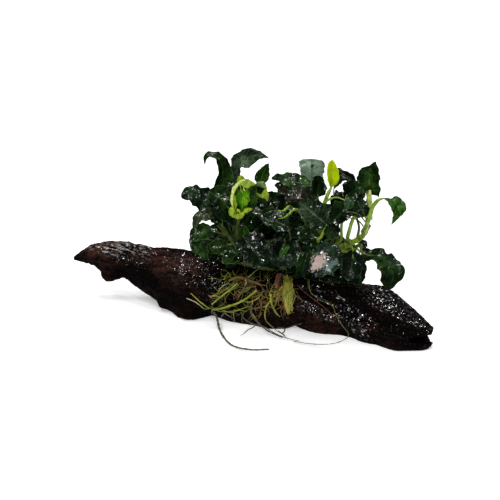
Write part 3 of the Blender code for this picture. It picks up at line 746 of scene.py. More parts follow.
@dataclass(frozen=True)
class RootFinish:
    """Live or old roots: two tones in stretches, a third one in specks, and greyer near the floor."""

    name: str
    first: Colour
    second: Colour
    # The speck colour: darker on most roots, a pale painted highlight on the old stub
    dark: Colour
    low: Colour = (0.075, 0.062, 0.040)

    def material(self) -> bpy.types.Material:
        """Builds the roots' material.

        Returns:
            A material whose pattern comes from noise and from where the surface lies.
        """
        paint = Paint(self.name, Coat_Roughness=0.2, Coat_IOR=1.3, Specular_IOR_Level=0.2)
        point = paint.object_point()
        patch = paint.noise(point, 7.0, 2.0)
        fine = paint.noise(point, 1.2, 3.0)
        colour = paint.mix(patch.band(0.40, 0.60), self.first, self.second)
        colour = paint.mix(fine.band(0.50, 0.75) * 0.6, colour, self.dark)
        colour = paint.mix(paint.part(point, "Z").band(0.0125, 0.005), colour, self.low)
        return paint.surface(
            Base_Color=colour,
            Roughness=0.3 + fine * 0.3,
            Coat_Weight=fine,
            Normal=paint.bump(fine, 0.3, 0.7),
        )


class RootTone(Enum):
    """The finishes of the roots, numbered as the tangle's materials."""

    GREEN = RootFinish("green root", (0.30, 0.31, 0.036), (0.17, 0.22, 0.018), (0.12, 0.085, 0.018))
    DULL = RootFinish("dull green thread", (0.075, 0.090, 0.012), (0.14, 0.16, 0.020), (0.050, 0.032, 0.010))
    ORANGE = RootFinish("tan thread", (0.23, 0.115, 0.028), (0.15, 0.11, 0.024), (0.055, 0.022, 0.008))
    BROWN = RootFinish("brown root", (0.085, 0.078, 0.036), (0.050, 0.052, 0.024), (0.040, 0.022, 0.012))
    PALE = RootFinish("pale root", (0.42, 0.38, 0.22), (0.30, 0.31, 0.12), (0.14, 0.10, 0.045))
    STRAW = RootFinish("straw root", (0.46, 0.31, 0.080), (0.36, 0.33, 0.050), (0.22, 0.12, 0.030))
    # The old stub's pale pinkish specks are a painted highlight
    STUB = RootFinish("old stub", (0.24, 0.085, 0.040), (0.12, 0.045, 0.022), (0.42, 0.30, 0.25))


class StemTone(Enum):
    """The finishes of the stems, of the stalks and of the rolled margins of young leaves."""

    GREEN = StemFinish(
        "stem green", (0.020, 0.028, 0.008), (0.24, 0.36, 0.024), (0.050, 0.080, 0.010), bands=9.0, fresh=True
    )
    SHEATH = StemFinish("pale sheath", (0.28, 0.38, 0.045), (0.62, 0.68, 0.24), (0.14, 0.22, 0.02))
    STALK = StemFinish("stalk green", (0.030, 0.050, 0.008), (0.095, 0.130, 0.020), (0.016, 0.030, 0.006))
    FRESH = StemFinish("fresh stalk", (0.11, 0.18, 0.012), (0.26, 0.37, 0.030), (0.060, 0.100, 0.010))
    RIM = StemFinish("young rim", (0.36, 0.46, 0.060), (0.66, 0.70, 0.260), (0.24, 0.36, 0.020))
    LIP = StemFinish("young lip", (0.13, 0.22, 0.004), (0.27, 0.36, 0.014), (0.050, 0.110, 0.003))


class LeafKind(Enum):
    """The finishes that the leaves are dressed in."""

    DARK = LeafFinish(
        "dark leaf", "dark_leaf", (0.0010, 0.0026, 0.0008), (0.0052, 0.0160, 0.0034), (0.018, 0.046, 0.014),
        (0.020, 0.050, 0.014), (0.009, 0.026, 0.005), (0.017, 0.050, 0.009),
    )
    CRINKLED = LeafFinish(
        "crinkled leaf", "dark_leaf", (0.0010, 0.0024, 0.0012), (0.0050, 0.0130, 0.0050),
        (0.018, 0.046, 0.016), (0.030, 0.060, 0.028), (0.010, 0.026, 0.008), (0.014, 0.036, 0.011),
        gloss=1.0, crinkle=0.9, soaked=0.35,
    )
    SHINY = replace(CRINKLED, name="shiny leaf", crinkle=2.4, soaked=0.8)
    BRIGHT = LeafFinish(
        "bright leaf", "bright_leaf", (0.0040, 0.0160, 0.0022), (0.016, 0.058, 0.006),
        (0.060, 0.150, 0.018), (0.060, 0.140, 0.024), (0.030, 0.080, 0.010), (0.030, 0.096, 0.008),
    )
    VIVID = LeafFinish(
        "vivid leaf", "bright_leaf", (0.0080, 0.0300, 0.0040), (0.042, 0.125, 0.016), (0.110, 0.240, 0.030),
        (0.100, 0.220, 0.040), (0.050, 0.130, 0.018), (0.075, 0.200, 0.020),
    )
    MOSSY = LeafFinish(
        "mossy leaf", "bright_leaf", (0.0022, 0.0065, 0.0014), (0.0125, 0.0360, 0.0065),
        (0.045, 0.090, 0.018), (0.060, 0.105, 0.026), (0.020, 0.048, 0.008), (0.030, 0.080, 0.012),
    )
    TIPPED = LeafFinish(
        "pale-tipped leaf", "bright_leaf", (0.0060, 0.0150, 0.0050), (0.024, 0.050, 0.016),
        (0.090, 0.150, 0.030), (0.090, 0.140, 0.040), (0.060, 0.110, 0.020), (0.050, 0.090, 0.020),
        blemishes=(Blemish(0.85, 0.0, 0.32, 1.6, (0.150, 0.210, 0.030)),),
    )
    OLIVE = LeafFinish(
        "olive leaf", "olive_leaf", (0.0070, 0.0120, 0.0050), (0.024, 0.034, 0.012), (0.050, 0.066, 0.020),
        (0.046, 0.062, 0.022), (0.030, 0.042, 0.012), (0.040, 0.052, 0.018), roughness=0.26,
    )
    TEAL = LeafFinish(
        "teal leaf", "teal_leaf", (0.0018, 0.0055, 0.0020), (0.011, 0.034, 0.010), (0.050, 0.100, 0.038),
        (0.070, 0.130, 0.055), (0.018, 0.044, 0.014), (0.036, 0.080, 0.034), gloss=1.0, vein_strength=0.3,
        crinkle=0.9, soaked=0.35,
    )
    SILVER = LeafFinish(
        "silver leaf", "silver_leaf", (0.130, 0.200, 0.135), (0.360, 0.470, 0.350), (0.045, 0.085, 0.055),
        (0.012, 0.032, 0.018), (0.060, 0.100, 0.070), (0.270, 0.340, 0.265), vein_strength=0.5,
        blemishes=(Blemish(0.62, 0.05, 0.09, 0.14, (0.016, 0.036, 0.026)),),
    )
    GREY = LeafFinish(
        "grey leaf", "silver_leaf", (0.0032, 0.0085, 0.0030), (0.024, 0.048, 0.018), (0.075, 0.115, 0.065),
        (0.010, 0.030, 0.008), (0.014, 0.030, 0.010), (0.100, 0.145, 0.085), gloss=0.9, vein_strength=0.35,
    )
    BROWN = LeafFinish(
        "brown leaf", "brown_leaf", (0.0050, 0.0056, 0.0036), (0.026, 0.022, 0.013), (0.055, 0.048, 0.024),
        (0.034, 0.040, 0.018), (0.022, 0.026, 0.012), (0.020, 0.030, 0.010), roughness=0.28,
    )
    PATCHED = LeafFinish(
        "patched leaf", "patched_leaf", (0.0018, 0.0040, 0.0024), (0.0095, 0.0220, 0.0100),
        (0.022, 0.045, 0.026), (0.034, 0.070, 0.040), (0.014, 0.034, 0.014), (0.014, 0.034, 0.018),
        gloss=1.0, crinkle=0.9, soaked=0.35,
        blemishes=(
            Blemish(0.68, 0.25, 0.30, 0.58, (0.44, 0.345, 0.31)),
            # The bluish grey second patch is a painted reflection
            Blemish(0.46, -0.45, 0.20, 0.40, (0.10, 0.14, 0.13)),
        ),
    )
    YOUNG = LeafFinish(
        "young leaf", "young_leaf", (0.010, 0.060, 0.002), (0.055, 0.220, 0.005), (0.200, 0.380, 0.020),
        (0.400, 0.560, 0.045), (0.320, 0.460, 0.040), (0.130, 0.330, 0.006),
    )
    YOUNG_OUTSIDE = LeafFinish(
        "young leaf outside", "young_leaf", (0.030, 0.060, 0.016), (0.110, 0.170, 0.055),
        (0.150, 0.230, 0.070), (0.240, 0.340, 0.090), (0.140, 0.220, 0.030), (0.170, 0.240, 0.090),
    )
    LIME = LeafFinish(
        "lime leaf", "lime_leaf", (0.330, 0.450, 0.004), (0.440, 0.540, 0.005), (0.500, 0.600, 0.020),
        (0.400, 0.500, 0.008), (0.360, 0.470, 0.008), (0.420, 0.540, 0.005), roughness=0.35, gloss=0.15,
        vein_strength=0.1,
    )


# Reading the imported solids


def merged(solid: bpy.types.Object) -> bmesh.types.BMesh:
    """A copy of a solid in millimetres, with its loose triangles joined.

    Args:
        solid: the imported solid's object.

    Returns:
        The copy as a bmesh.
    """
    shape = bmesh.new()
    shape.from_mesh(solid.data)
    bmesh.ops.remove_doubles(shape, verts=shape.verts, dist=1e-6)
    scaled(shape, 1 / MM)
    return shape


def layers_from(start: list[bmesh.types.BMVert]) -> list[list[bmesh.types.BMVert]]:
    """The vertices one, two and more edges away from the first ones, layer by layer.

    Args:
        start: the first vertices.

    Returns:
        The layers, the first vertices included.
    """
    layers = [start]
    seen = set(start)
    while True:
        ring = []
        for vert in layers[-1]:
            for edge in vert.link_edges:
                other = edge.other_vert(vert)
                if other not in seen:
                    seen.add(other)
                    ring.append(other)
        if not ring:
            return layers
        layers.append(ring)


def middle(ring: list[bmesh.types.BMVert]) -> Vector:
    """The middle of a ring of vertices."""
    return sum((vert.co for vert in ring), Vector()) / len(ring)


def in_order(ring: list[bmesh.types.BMVert]) -> list[Vector]:
    """The points of a ring in their order round it.

    Args:
        ring: the vertices of the ring, in any order.

    Returns:
        Their places, in order.
    """
    members = set(ring)
    found = [ring[0]]
    while len(found) < len(ring):
        nearby = (edge.other_vert(found[-1]) for edge in found[-1].link_edges)
        found.append(next(vert for vert in nearby if vert in members and vert not in found))
    return [vert.co.copy() for vert in found]


@dataclass
class Line:
    """A drawn-out solid read back as its middle line and radii."""

    points: list[Vector]
    radii: list[float]

    @classmethod
    def of(cls, solid: bpy.types.Object) -> "Line":
        """Reads a tube with a flat cap at each end.

        Args:
            solid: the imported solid's object.

        Returns:
            Its line. A root's runs downwards.
        """
        shape = merged(solid)
        bmesh.ops.dissolve_limit(
            shape, angle_limit=0.002, verts=shape.verts, edges=shape.edges, use_dissolve_boundaries=False
        )
        for cap in (face for face in shape.faces if len(face.verts) > 4):
            layers = layers_from(list(cap.verts))
            if all(len(ring) == len(cap.verts) for ring in layers):
                break
        points = [middle(ring) for ring in layers]
        radii = [sum((v.co - c).length for v in ring) / len(ring) for ring, c in zip(layers, points)]
        shape.free()
        if points[0].z < points[-1].z and "root" in solid.name:
            points.reverse()
            radii.reverse()
        return cls(points, radii)

    def sampled(self, step: float) -> tuple[np.ndarray, np.ndarray]:
        """Points about a step apart along the middle line, and the radii there.

        Args:
            step: the distance between points.

        Returns:
            The points and the radii.
        """
        length = sum((b - a).length for a, b in zip(self.points, self.points[1:]))
        rings = max(round(length / step), 4)
        radii = np.interp(np.linspace(0, 1, rings), np.linspace(0, 1, len(self.radii)), self.radii)
        return smooth_line(self.points, rings), radii


@dataclass
class LeafNet:
    """A leaf read back from its solid: rows of five points across the blade, and the stalk's middle line."""

    rows: np.ndarray
    stalk: list[Vector]

    @classmethod
    def of(cls, solid: bpy.types.Object) -> "LeafNet":
        """Reads a leaf solid, whose rings of eight run from the stalk's foot to a pointed tip.

        Args:
            solid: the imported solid's object.

        Returns:
            Its net.
        """
        shape = merged(solid)
        for tip in (vert for vert in shape.verts if len(vert.link_edges) == 8):
            layers = layers_from([tip])
            if all(len(ring) == 8 for ring in layers[1:]):
                break
        rings = [in_order(ring) for ring in layers[1:7]]
        stalk = [middle(ring) for ring in reversed(layers[7:])]
        point = tip.co.copy()
        shape.free()
        return cls.from_rings(rings, stalk, point)

    @classmethod
    def from_rings(cls, rings: list[list[Vector]], stalk: list[Vector], tip: Vector) -> "LeafNet":
        """Sorts a blade's rings into rows that run from its left margin to its right one.

        Args:
            rings: rings of eight points, from the tip to the base.
            stalk: the stalk's middle line, from the stem to the blade.
            tip: the blade's tip.

        Returns:
            The net, with the upper side on its left-hand normal.
        """
        centres = [sum(ring, Vector()) / 8 for ring in rings]
        path = [tip, *centres, stalk[-1]]
        rows = []
        keel_score = 0.0
        last_side = None
        for number, ring in enumerate(rings):
            first = max(range(4), key=lambda turn: (ring[turn] - ring[turn + 4]).length)
            ring = ring[first:] + ring[:first]
            if last_side is not None and (ring[4] - ring[0]).dot(last_side) < 0:
                ring = ring[4:] + ring[:4]
            last_side = ring[4] - ring[0]
            direction = path[number] - path[number + 2]
            normal = last_side.cross(direction).normalized()
            top, keel = ring[2], ring[6]
            if (top - keel).dot(normal) < 0:
                ring = [ring[0]] + ring[:0:-1]
                top, keel = keel, top
            inner = (ring[1] + ring[3] + ring[5] + ring[7]) / 4
            keel_score += (keel - inner).length - (top - inner).length
            inside = [(ring[1] + ring[7]) / 2, (top + keel) / 2, (ring[3] + ring[5]) / 2]
            rows.append([ring[0], *inside, ring[4]])
        if keel_score < 0:
            rows = [row[::-1] for row in rows]
        side = (rows[-1][4] - rows[-1][0]).normalized()
        base = [stalk[-1] + side * share * 0.8 for share in ACROSS]
        rows = [base] + rows[::-1] + [[tip] * 5]
        return cls(np.array([[tuple(p) for p in row] for row in rows]), stalk)


@dataclass(frozen=True)
class Outline:
    """A blade's two margins on the layout's paper, from its base to its tip, as columns and rows.

    The cup is how far the blade's middle lies behind its margins, in millimetres, and the shift moves it all
    back. The material is the number of the one that it has among the leaf's.
    """

    left: tuple[tuple[float, float], ...]
    right: tuple[tuple[float, float], ...]
    cup: float = 0.0
    shift: float = 0.0
    material: int = 0

    def fitted(self, rows: np.ndarray) -> np.ndarray:
        """The rows of a net moved sideways to these margins, at the depth where they were.

        Args:
            rows: the net's rows.

        Returns:
            The moved rows.
        """
        result = rows.copy()
        for number, (left, right) in enumerate(zip(self.left, self.right)):
            for turn, across in enumerate(ACROSS):
                share = (across + 1) / 2
                column = left[0] + (right[0] - left[0]) * share
                row = left[1] + (right[1] - left[1]) * share
                depth = rows[number, turn, 1] + self.cup * (1 - across**2) + self.shift
                result[number, turn] = square(column, row, depth)
        return result


@dataclass(frozen=True)
class Trim:
    """The finish of one leaf, and what is special about its shape.

    The fold lifts both halves about the midrib. The stalk is the stalk's radius, and a fresh leaf has a
    bright one. The path is where the stalk runs between its foot and the blade, as squares and depths.
    """

    kind: LeafKind = LeafKind.DARK
    ruffle: float = 1.0
    fold: float = 0.18
    crumple: float = 0.22
    stalk: float = 1.0
    fresh: bool = False
    path: tuple[tuple[float, float, float], ...] = ()
    outline: Union[Outline, None] = None


@dataclass
class LeafSkin:
    """Makes the fine skin of one leaf from its net.

    The blade is a thin wrapped sheet with ruffled margins, a quilted surface and a grooved midrib. The stalk
    runs on as a raised rib under it. Billows are broad folds all over the blade, and crumples are small ones.
    """

    net: LeafNet
    seed: int
    trim: Trim = Trim()
    ruffle_count: float = 3.4
    quilt: float = 0.12
    groove: float = 0.30
    groove_width: float = 0.7
    billow: float = 1.7
    billow_size: float = 7.5
    crumple_size: float = 3.2
    thickness: float = 0.55
    rings: int = 48
    half_around: int = 20

    def surface(self, along: int, across: np.ndarray) -> np.ndarray:
        """The blade's middle surface, read at a number of places along it and at given places across it.

        Args:
            along: how many places along it are read.
            across: the places across it, from -1 to 1.

        Returns:
            An array of places along by places across by 3.
        """
        lengthwise = spline_weights(len(self.net.rows), along)
        wanted = np.concatenate((across, ACROSS))
        sideways = np.ones((len(wanted), 5))
        for number, knot in enumerate(ACROSS):
            for other in ACROSS:
                if other != knot:
                    sideways[:, number] *= (wanted - other) / (knot - other)
        whole = np.einsum("ur,rcx,vc->uvx", lengthwise, self.net.rows, sideways)
        centre = whole[:, -3:-2]
        side = whole[:, -1:] - whole[:, -5:-4]
        half = np.linalg.norm(side, axis=2, keepdims=True) / 2
        normal = unit(np.cross(unit(side), np.gradient(centre, axis=0)))
        return whole[:, : len(across)] + normal * half * self.trim.fold * np.abs(across)[None, :, None] ** 1.4

    def crinkles(self, points: np.ndarray) -> tuple[np.ndarray, np.ndarray]:
        """Billows and crumples from -1 to 1 at the points of a grid, the same on both sides of the blade.

        Args:
            points: the points of the blade's closed skin.

        Returns:
            The billows and the crumples, each an array of rings by points round them.
        """
        broad = np.zeros(points.shape[:2])
        small = np.zeros(points.shape[:2])
        seed = Vector((0, 0, self.seed))
        for ring in range(self.rings):
            for turn in range(self.half_around + 1):
                spot = Vector(points[ring, turn])
                broad[ring, turn] = noise.noise(spot / self.billow_size + seed)
                small[ring, turn] = noise.noise(spot / self.crumple_size + seed)
        back = 2 * self.half_around - np.arange(self.half_around + 1, 2 * self.half_around)
        broad[:, self.half_around + 1 :] = broad[:, back]
        small[:, self.half_around + 1 :] = small[:, back]
        return broad, small

    def grid(self) -> np.ndarray:
        """The points of the blade's closed skin, ring by ring from its base.

        Returns:
            An array of rings by points round them by 3.
        """
        chance = random.Random(self.seed)
        angles = np.arange(2 * self.half_around) * math.pi / self.half_around
        across = -np.cos(angles)
        points = self.surface(self.rings, across)
        u = np.linspace(0.0, 1.0, self.rings)[:, None]
        v = across[None, :]
        ahead = self.surface(self.rings, np.clip(across + 0.02, -1, 1))
        behind = self.surface(self.rings, np.clip(across - 0.02, -1, 1))
        normals = unit(np.cross(ahead - behind, np.gradient(points, axis=0)))
        normals[0] = normals[1]
        normals[-1] = normals[-2]
        half = np.linalg.norm(points[:, self.half_around] - points[:, 0], axis=1)[:, None] / 2
        away = np.abs(v)
        edge = away**3
        ends = np.clip(np.sin(math.pi * u) * 3.0, 0.0, 1.0)
        side = np.where(v > 0, 1.0, 0.0)
        phase = chance.uniform(0, math.tau) + side * chance.uniform(1.5, 4.5)
        count = self.ruffle_count * chance.uniform(0.75, 1.25)
        waves = np.sin(math.tau * count * u + phase)
        waves = waves + 0.3 * np.sin(math.tau * count * 2.2 * u + 2.0 * phase)
        ruffle = self.trim.ruffle * chance.uniform(0.8, 1.4)
        broad, small = self.crinkles(points)
        lift = ruffle * edge * ends * (waves + small) * np.clip(half / 9.0, 0.3, 1.4)
        lift = lift + self.quilt * (1 - edge) * ends * np.sin(math.tau * (VEINS * u - VEIN_SLANT * away))
        lift = lift - self.groove * np.exp(-((v * half / self.groove_width) ** 2)) * (1 - u)
        lift = lift + (self.billow * broad + self.trim.crumple * small) * ends * np.clip(half / 7.0, 0.2, 1.2)
        body = np.sqrt(np.clip(1 - v**2, 0, 1)) * 0.75 + 0.25
        depth = self.thickness / 2 * body * np.clip(half / 1.5, 0.15, 1.0)
        top_or_bottom = np.sign(np.sin(angles + 1e-9))[None, :]
        top_or_bottom[:, 0] = 0.0
        top_or_bottom[:, self.half_around] = 0.0
        scallop = 1 + away**4 * (0.10 * small + 0.02 * np.sin(math.tau * 5.0 * u + 3.0 * phase)) * ends
        middle_line = self.surface(self.rings, np.zeros(1))
        points = middle_line + (points - middle_line) * scallop[:, :, None]
        points = points + normals * (lift + depth * top_or_bottom)[:, :, None]
        points[-1] = points[-1].mean(axis=0)
        return points

    def blade(self) -> bmesh.types.BMesh:
        """The blade as a closed thin skin."""
        return wrap(self.grid())

    def stalk(self) -> bmesh.types.BMesh:
        """The stalk, sunk a little into the stem, and its run along the underside of the blade as a rib.

        Returns:
            A closed tube.
        """
        line = [np.array(point) for point in self.net.stalk]
        start = line[0] - unit(line[1] - line[0]) * 1.8
        grid = self.grid()
        under = grid[:, 3 * self.half_around // 2]
        top = grid[:, self.half_around // 2]
        picked = [round(share * (self.rings - 1)) for share in (0.09, 0.27, 0.45, 0.63, 0.81)]
        rib = [under[number] + unit(under[number] - top[number]) * 0.1 for number in picked]
        knots = [start, *line, *rib]
        radius = self.trim.stalk
        places = np.linspace(0, 1, len(line) + 1)
        radii = list(np.interp(places, (0, 0.3, 1), (radius * 1.4, radius, radius * 0.9)))
        radii += [min(radius, 1.0) * share for share in (0.6, 0.42, 0.36, 0.28, 0.2)]
        return tube(knots, radii, STALK_STEP, STALK_SIDES)

    def add_to(self, skin: Skin) -> None:
        """Adds the blade and the stalk to a skin."""
        skin.add(self.blade(), 0)
        skin.add(self.stalk(), 1)


@dataclass(frozen=True)
class Roll:
    """A rolled margin of a young leaf: columns, rows and radii, how far forward it is and its material."""

    points: tuple[tuple[float, float, float], ...]
    forward: float
    material: int


@dataclass(frozen=True)
class RolledLeaf:
    """A young leaf that is still rolled: folded sheets, rolled margins, the stalk's end and its material."""

    sheets: tuple[Outline, ...]
    rolls: tuple[Roll, ...]
    foot: tuple[float, float]
    stalk_material: int
    wrinkle: float = 0.6
    wrinkle_size: float = 2.2
    wrinkle_seed: int = 3

    def add_to(self, skin: Skin, net: LeafNet) -> None:
        """Adds the sheets, the rolled margins and the stalk to a skin.

        Args:
            skin: the leaf's skin.
            net: the net of its solid, which gives the depth and the stalk.
        """
        front = float(net.rows[2:6, :, 1].mean())
        level = net.rows.copy()
        level[:, :, 1] = front
        noise.seed_set(self.wrinkle_seed)
        for number, outline in enumerate(self.sheets):
            shape = LeafNet(outline.fitted(level), net.stalk)
            sheet = LeafSkin(shape, 31 + number, Trim(ruffle=0.6, fold=0.0, crumple=0.45))
            skin.add(sheet.blade(), outline.material)
        for roll in self.rolls:
            knots = [square(column, row, front - roll.forward) for column, row, _ in roll.points]
            radii = [radius for _, _, radius in roll.points]
            most = min(self.wrinkle, max(radii) * 0.4)
            shape = tube(knots, radii, 0.5, 16)
            for vert in shape.verts:
                vert.co += Vector(noise.noise_vector(vert.co / self.wrinkle_size)) * most
            skin.add(shape, roll.material)
        foot = square(*self.foot, front - 1.0)
        stalk = tube([*net.stalk[:-1], foot], [1.3, 1.1, 1.0, 1.2], STALK_STEP, STALK_SIDES)
        skin.add(stalk, self.stalk_material)


# The plant and the wood


@dataclass(frozen=True)
class Knob:
    """A rounded lobe of the wood, or a hollow if its height is below 0: its square, radius and height."""

    column: float
    row: float
    radius: float
    height: float

    def centre(self, shape: bmesh.types.BMesh) -> Vector:
        """The spot of the wood that is seen nearest to the square, the nearer one where two are as good.

        Args:
            shape: the wood.

        Returns:
            The place of the vertex there.
        """
        line = (sight(self.column, self.row) - EYE).normalized()

        def miss(vert: bmesh.types.BMVert) -> float:
            """How far a vertex is from the line of sight, and a little for lying behind.

            Args:
                vert: the vertex.

            Returns:
                The score, lower for a better vertex.
            """
            away = vert.co - EYE
            depth = away.dot(line)
            return (away - line * depth).length + depth * 0.02

        return min(shape.verts, key=miss).co.copy()


@dataclass
class Driftwood:
    """The wood: its solid remade as one fine surface with furrows, knobs and pits."""

    solid: bpy.types.Object
    knobs: tuple[Knob, ...]
    cell: float = 0.8
    smoothing: int = 16
    waviness: float = 0.8
    waviness_size: float = 13.0
    furrows: float = 1.5
    furrow_size: float = 3.6
    fine_furrow_size: float = 1.7
    grit: float = 0.4
    grit_size: float = 1.6
    dents: float = 1.6
    dent_size: float = 3.4
    tree: BVHTree = field(init=False)

    def build(self) -> None:
        """Makes the wood's surface."""
        shape = merged(self.solid)
        scaled(shape, MM)
        core = linked("driftwood_core", mesh_of(shape, "driftwood_core"))
        remesh = core.modifiers.new("even skin", "REMESH")
        remesh.mode = "VOXEL"
        remesh.voxel_size = self.cell * MM
        evaluated = core.evaluated_get(bpy.context.evaluated_depsgraph_get())
        even = bpy.data.meshes.new_from_object(evaluated)
        skin = Skin()
        skin.shape.from_mesh(even)
        bpy.data.objects.remove(core)
        scaled(skin.shape, 1 / MM)
        self.soften(skin.shape)
        self.carve(skin.shape)
        bmesh.ops.recalc_face_normals(skin.shape, faces=skin.shape.faces)
        self.tree = skin.tree()
        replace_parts(skin.finish("wood", [WetWoodFinish().material()], "wet_wood"), "driftwood")

    def soften(self, shape: bmesh.types.BMesh) -> None:
        """Rounds the solid's facets, in and out by turns so that its ends keep their reach.

        Args:
            shape: the wood, in millimetres.
        """
        shape.verts.index_update()
        spots = np.array([tuple(vert.co) for vert in shape.verts])
        pairs = np.array([[vert.index for vert in edge.verts] for edge in shape.edges])
        count = np.bincount(pairs.ravel(), minlength=len(spots))[:, None]
        for number in range(2 * self.smoothing):
            total = np.zeros_like(spots)
            np.add.at(total, pairs[:, 0], spots[pairs[:, 1]])
            np.add.at(total, pairs[:, 1], spots[pairs[:, 0]])
            spots = spots + (total / count - spots) * (0.6 if number % 2 == 0 else -0.5)
        for vert, spot in zip(shape.verts, spots):
            vert.co = spot

    def carve(self, shape: bmesh.types.BMesh) -> None:
        """Moves every vertex in or out to carve lobes, furrows and pits. The cut underside stays flat.

        Args:
            shape: the wood, in millimetres.
        """
        shape.normal_update()
        lobes = [(knob.centre(shape), knob.radius, knob.height) for knob in self.knobs]
        moves = []
        for vert in shape.verts:
            x, y, z = vert.co
            grain = Vector((x * 0.22 + y * 0.05, y + x * 0.06, z - x * 0.04))
            broad = noise.noise(vert.co / self.waviness_size)
            furrow = 1.0 - 2.0 * abs(noise.noise(grain / self.furrow_size))
            fine = noise.noise(grain / self.fine_furrow_size + Vector((7, 3, 1)))
            furrow += 0.5 * (1.0 - 2.0 * abs(fine))
            rough = noise.noise(vert.co / self.grit_size)
            dent = noise.noise(vert.co / self.dent_size + Vector((4, 9, 2)))
            move = self.waviness * broad + self.furrows * (0.45 * furrow - 0.55) + self.grit * rough
            move -= self.dents * max(dent - 0.25, 0.0)
            for centre, radius, height in lobes:
                away = (vert.co - centre).length / radius
                if away < 2.2:
                    move += height * math.exp(-(away**2))
            base = min(max(z / 2.5, 0.0), 1.0)
            moves.append(vert.normal * move * base)
        for vert, move in zip(shape.verts, moves):
            vert.co += move
            if vert.co.z < 0.25:
                vert.co.z = 0.0

    def spot(self, seen: Vector, lift: float) -> Union[Vector, None]:
        """The point at a height above the wood that is seen where another point is.

        Args:
            seen: the other point.
            lift: the height above the wood.

        Returns:
            The point, or None where the wood isn't behind it.
        """
        hit, normal, _, _ = self.tree.ray_cast(EYE, (seen - EYE).normalized())
        if hit is None:
            return None
        return hit + normal * lift


@dataclass
class Stems:
    """The rhizome, its side shoots and the pale sheath, with swollen joints."""

    nodes: dict[str, bpy.types.Object]
    materials: dict[StemTone, bpy.types.Material]
    sides: int = 16
    step: float = 0.7
    joint_spacing: float = 5.2
    joint_swell: float = 0.06
    lumps: float = 0.16
    lump_size: float = 2.4

    def build(self) -> None:
        """Makes each stem over its solid."""
        for name in SHOOTS:
            self.stem(name, StemTone.GREEN, "stem_green", 1.08)
        self.stem("sheath", StemTone.SHEATH, "pale_sheath", 1.35)

    def stem(self, name: str, tone: StemTone, slot: str, swell: float) -> None:
        """Makes one stem.

        Args:
            name: the solid's name.
            tone: the stem's finish.
            slot: the record's material slot.
            swell: how much fuller it is than its solid.
        """
        spots, radii = Line.of(self.nodes[name]).sampled(self.step)
        places = np.arange(len(spots)) * self.step
        joints = np.cos(math.tau * places / self.joint_spacing) ** 3
        radii = radii * swell * (1 + self.joint_swell * joints)
        if name == "rhizome":
            radii = radii * np.interp(spots[:, 0], (55.0, 78.0, 100.0), (1.0, 0.72, 0.60))
        skin = Skin()
        skin.add(wrap(lumpy_tube(spots, radii, self.sides, self.lumps, self.lump_size)))
        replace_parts(skin.finish(f"{name}_skin", [self.materials[tone]], slot), name)


@dataclass
class Foliage:
    """Every leaf that has a solid of its own."""

    nodes: dict[str, bpy.types.Object]
    leaves: dict[str, Trim]
    rolled: dict[str, RolledLeaf]
    materials: dict[LeafKind, bpy.types.Material]
    stalks: dict[StemTone, bpy.types.Material]

    def build(self) -> None:
        """Dresses each leaf in its finish."""
        for number, (short_name, trim) in enumerate(self.leaves.items()):
            name = f"leaf_{short_name}"
            skin = Skin()
            net = LeafNet.of(self.nodes[name])
            dress = [self.materials[trim.kind], self.stalks[StemTone.FRESH if trim.fresh else StemTone.STALK]]
            if short_name in self.rolled:
                self.rolled[short_name].add_to(skin, net)
                dress += [self.stalks[StemTone.RIM], self.stalks[StemTone.LIP]]
                dress.append(self.materials[LeafKind.MOSSY])
            else:
                if trim.outline:
                    net.rows = trim.outline.fitted(net.rows)
                    net.stalk[-1] = Vector(net.rows[0, 2])
                if trim.path:
                    net.stalk = [net.stalk[0], *(square(*point) for point in trim.path), net.stalk[-1]]
                LeafSkin(net, number * 7 + 3, trim).add_to(skin)
            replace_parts(skin.finish(f"{name}_skin", dress, trim.kind.value.slot), name)


@dataclass(frozen=True)
class InnerLeaf:
    """A small leaf that fills the inside of the plant.

    The blade's middle is given as a square and its depth, its heading as an angle from right towards up, then
    its length, its width, how far it leans up and its finish.
    """

    column: float
    row: float
    depth: float
    heading: float
    length: float
    width: float
    lean: float
    kind: LeafKind = LeafKind.DARK


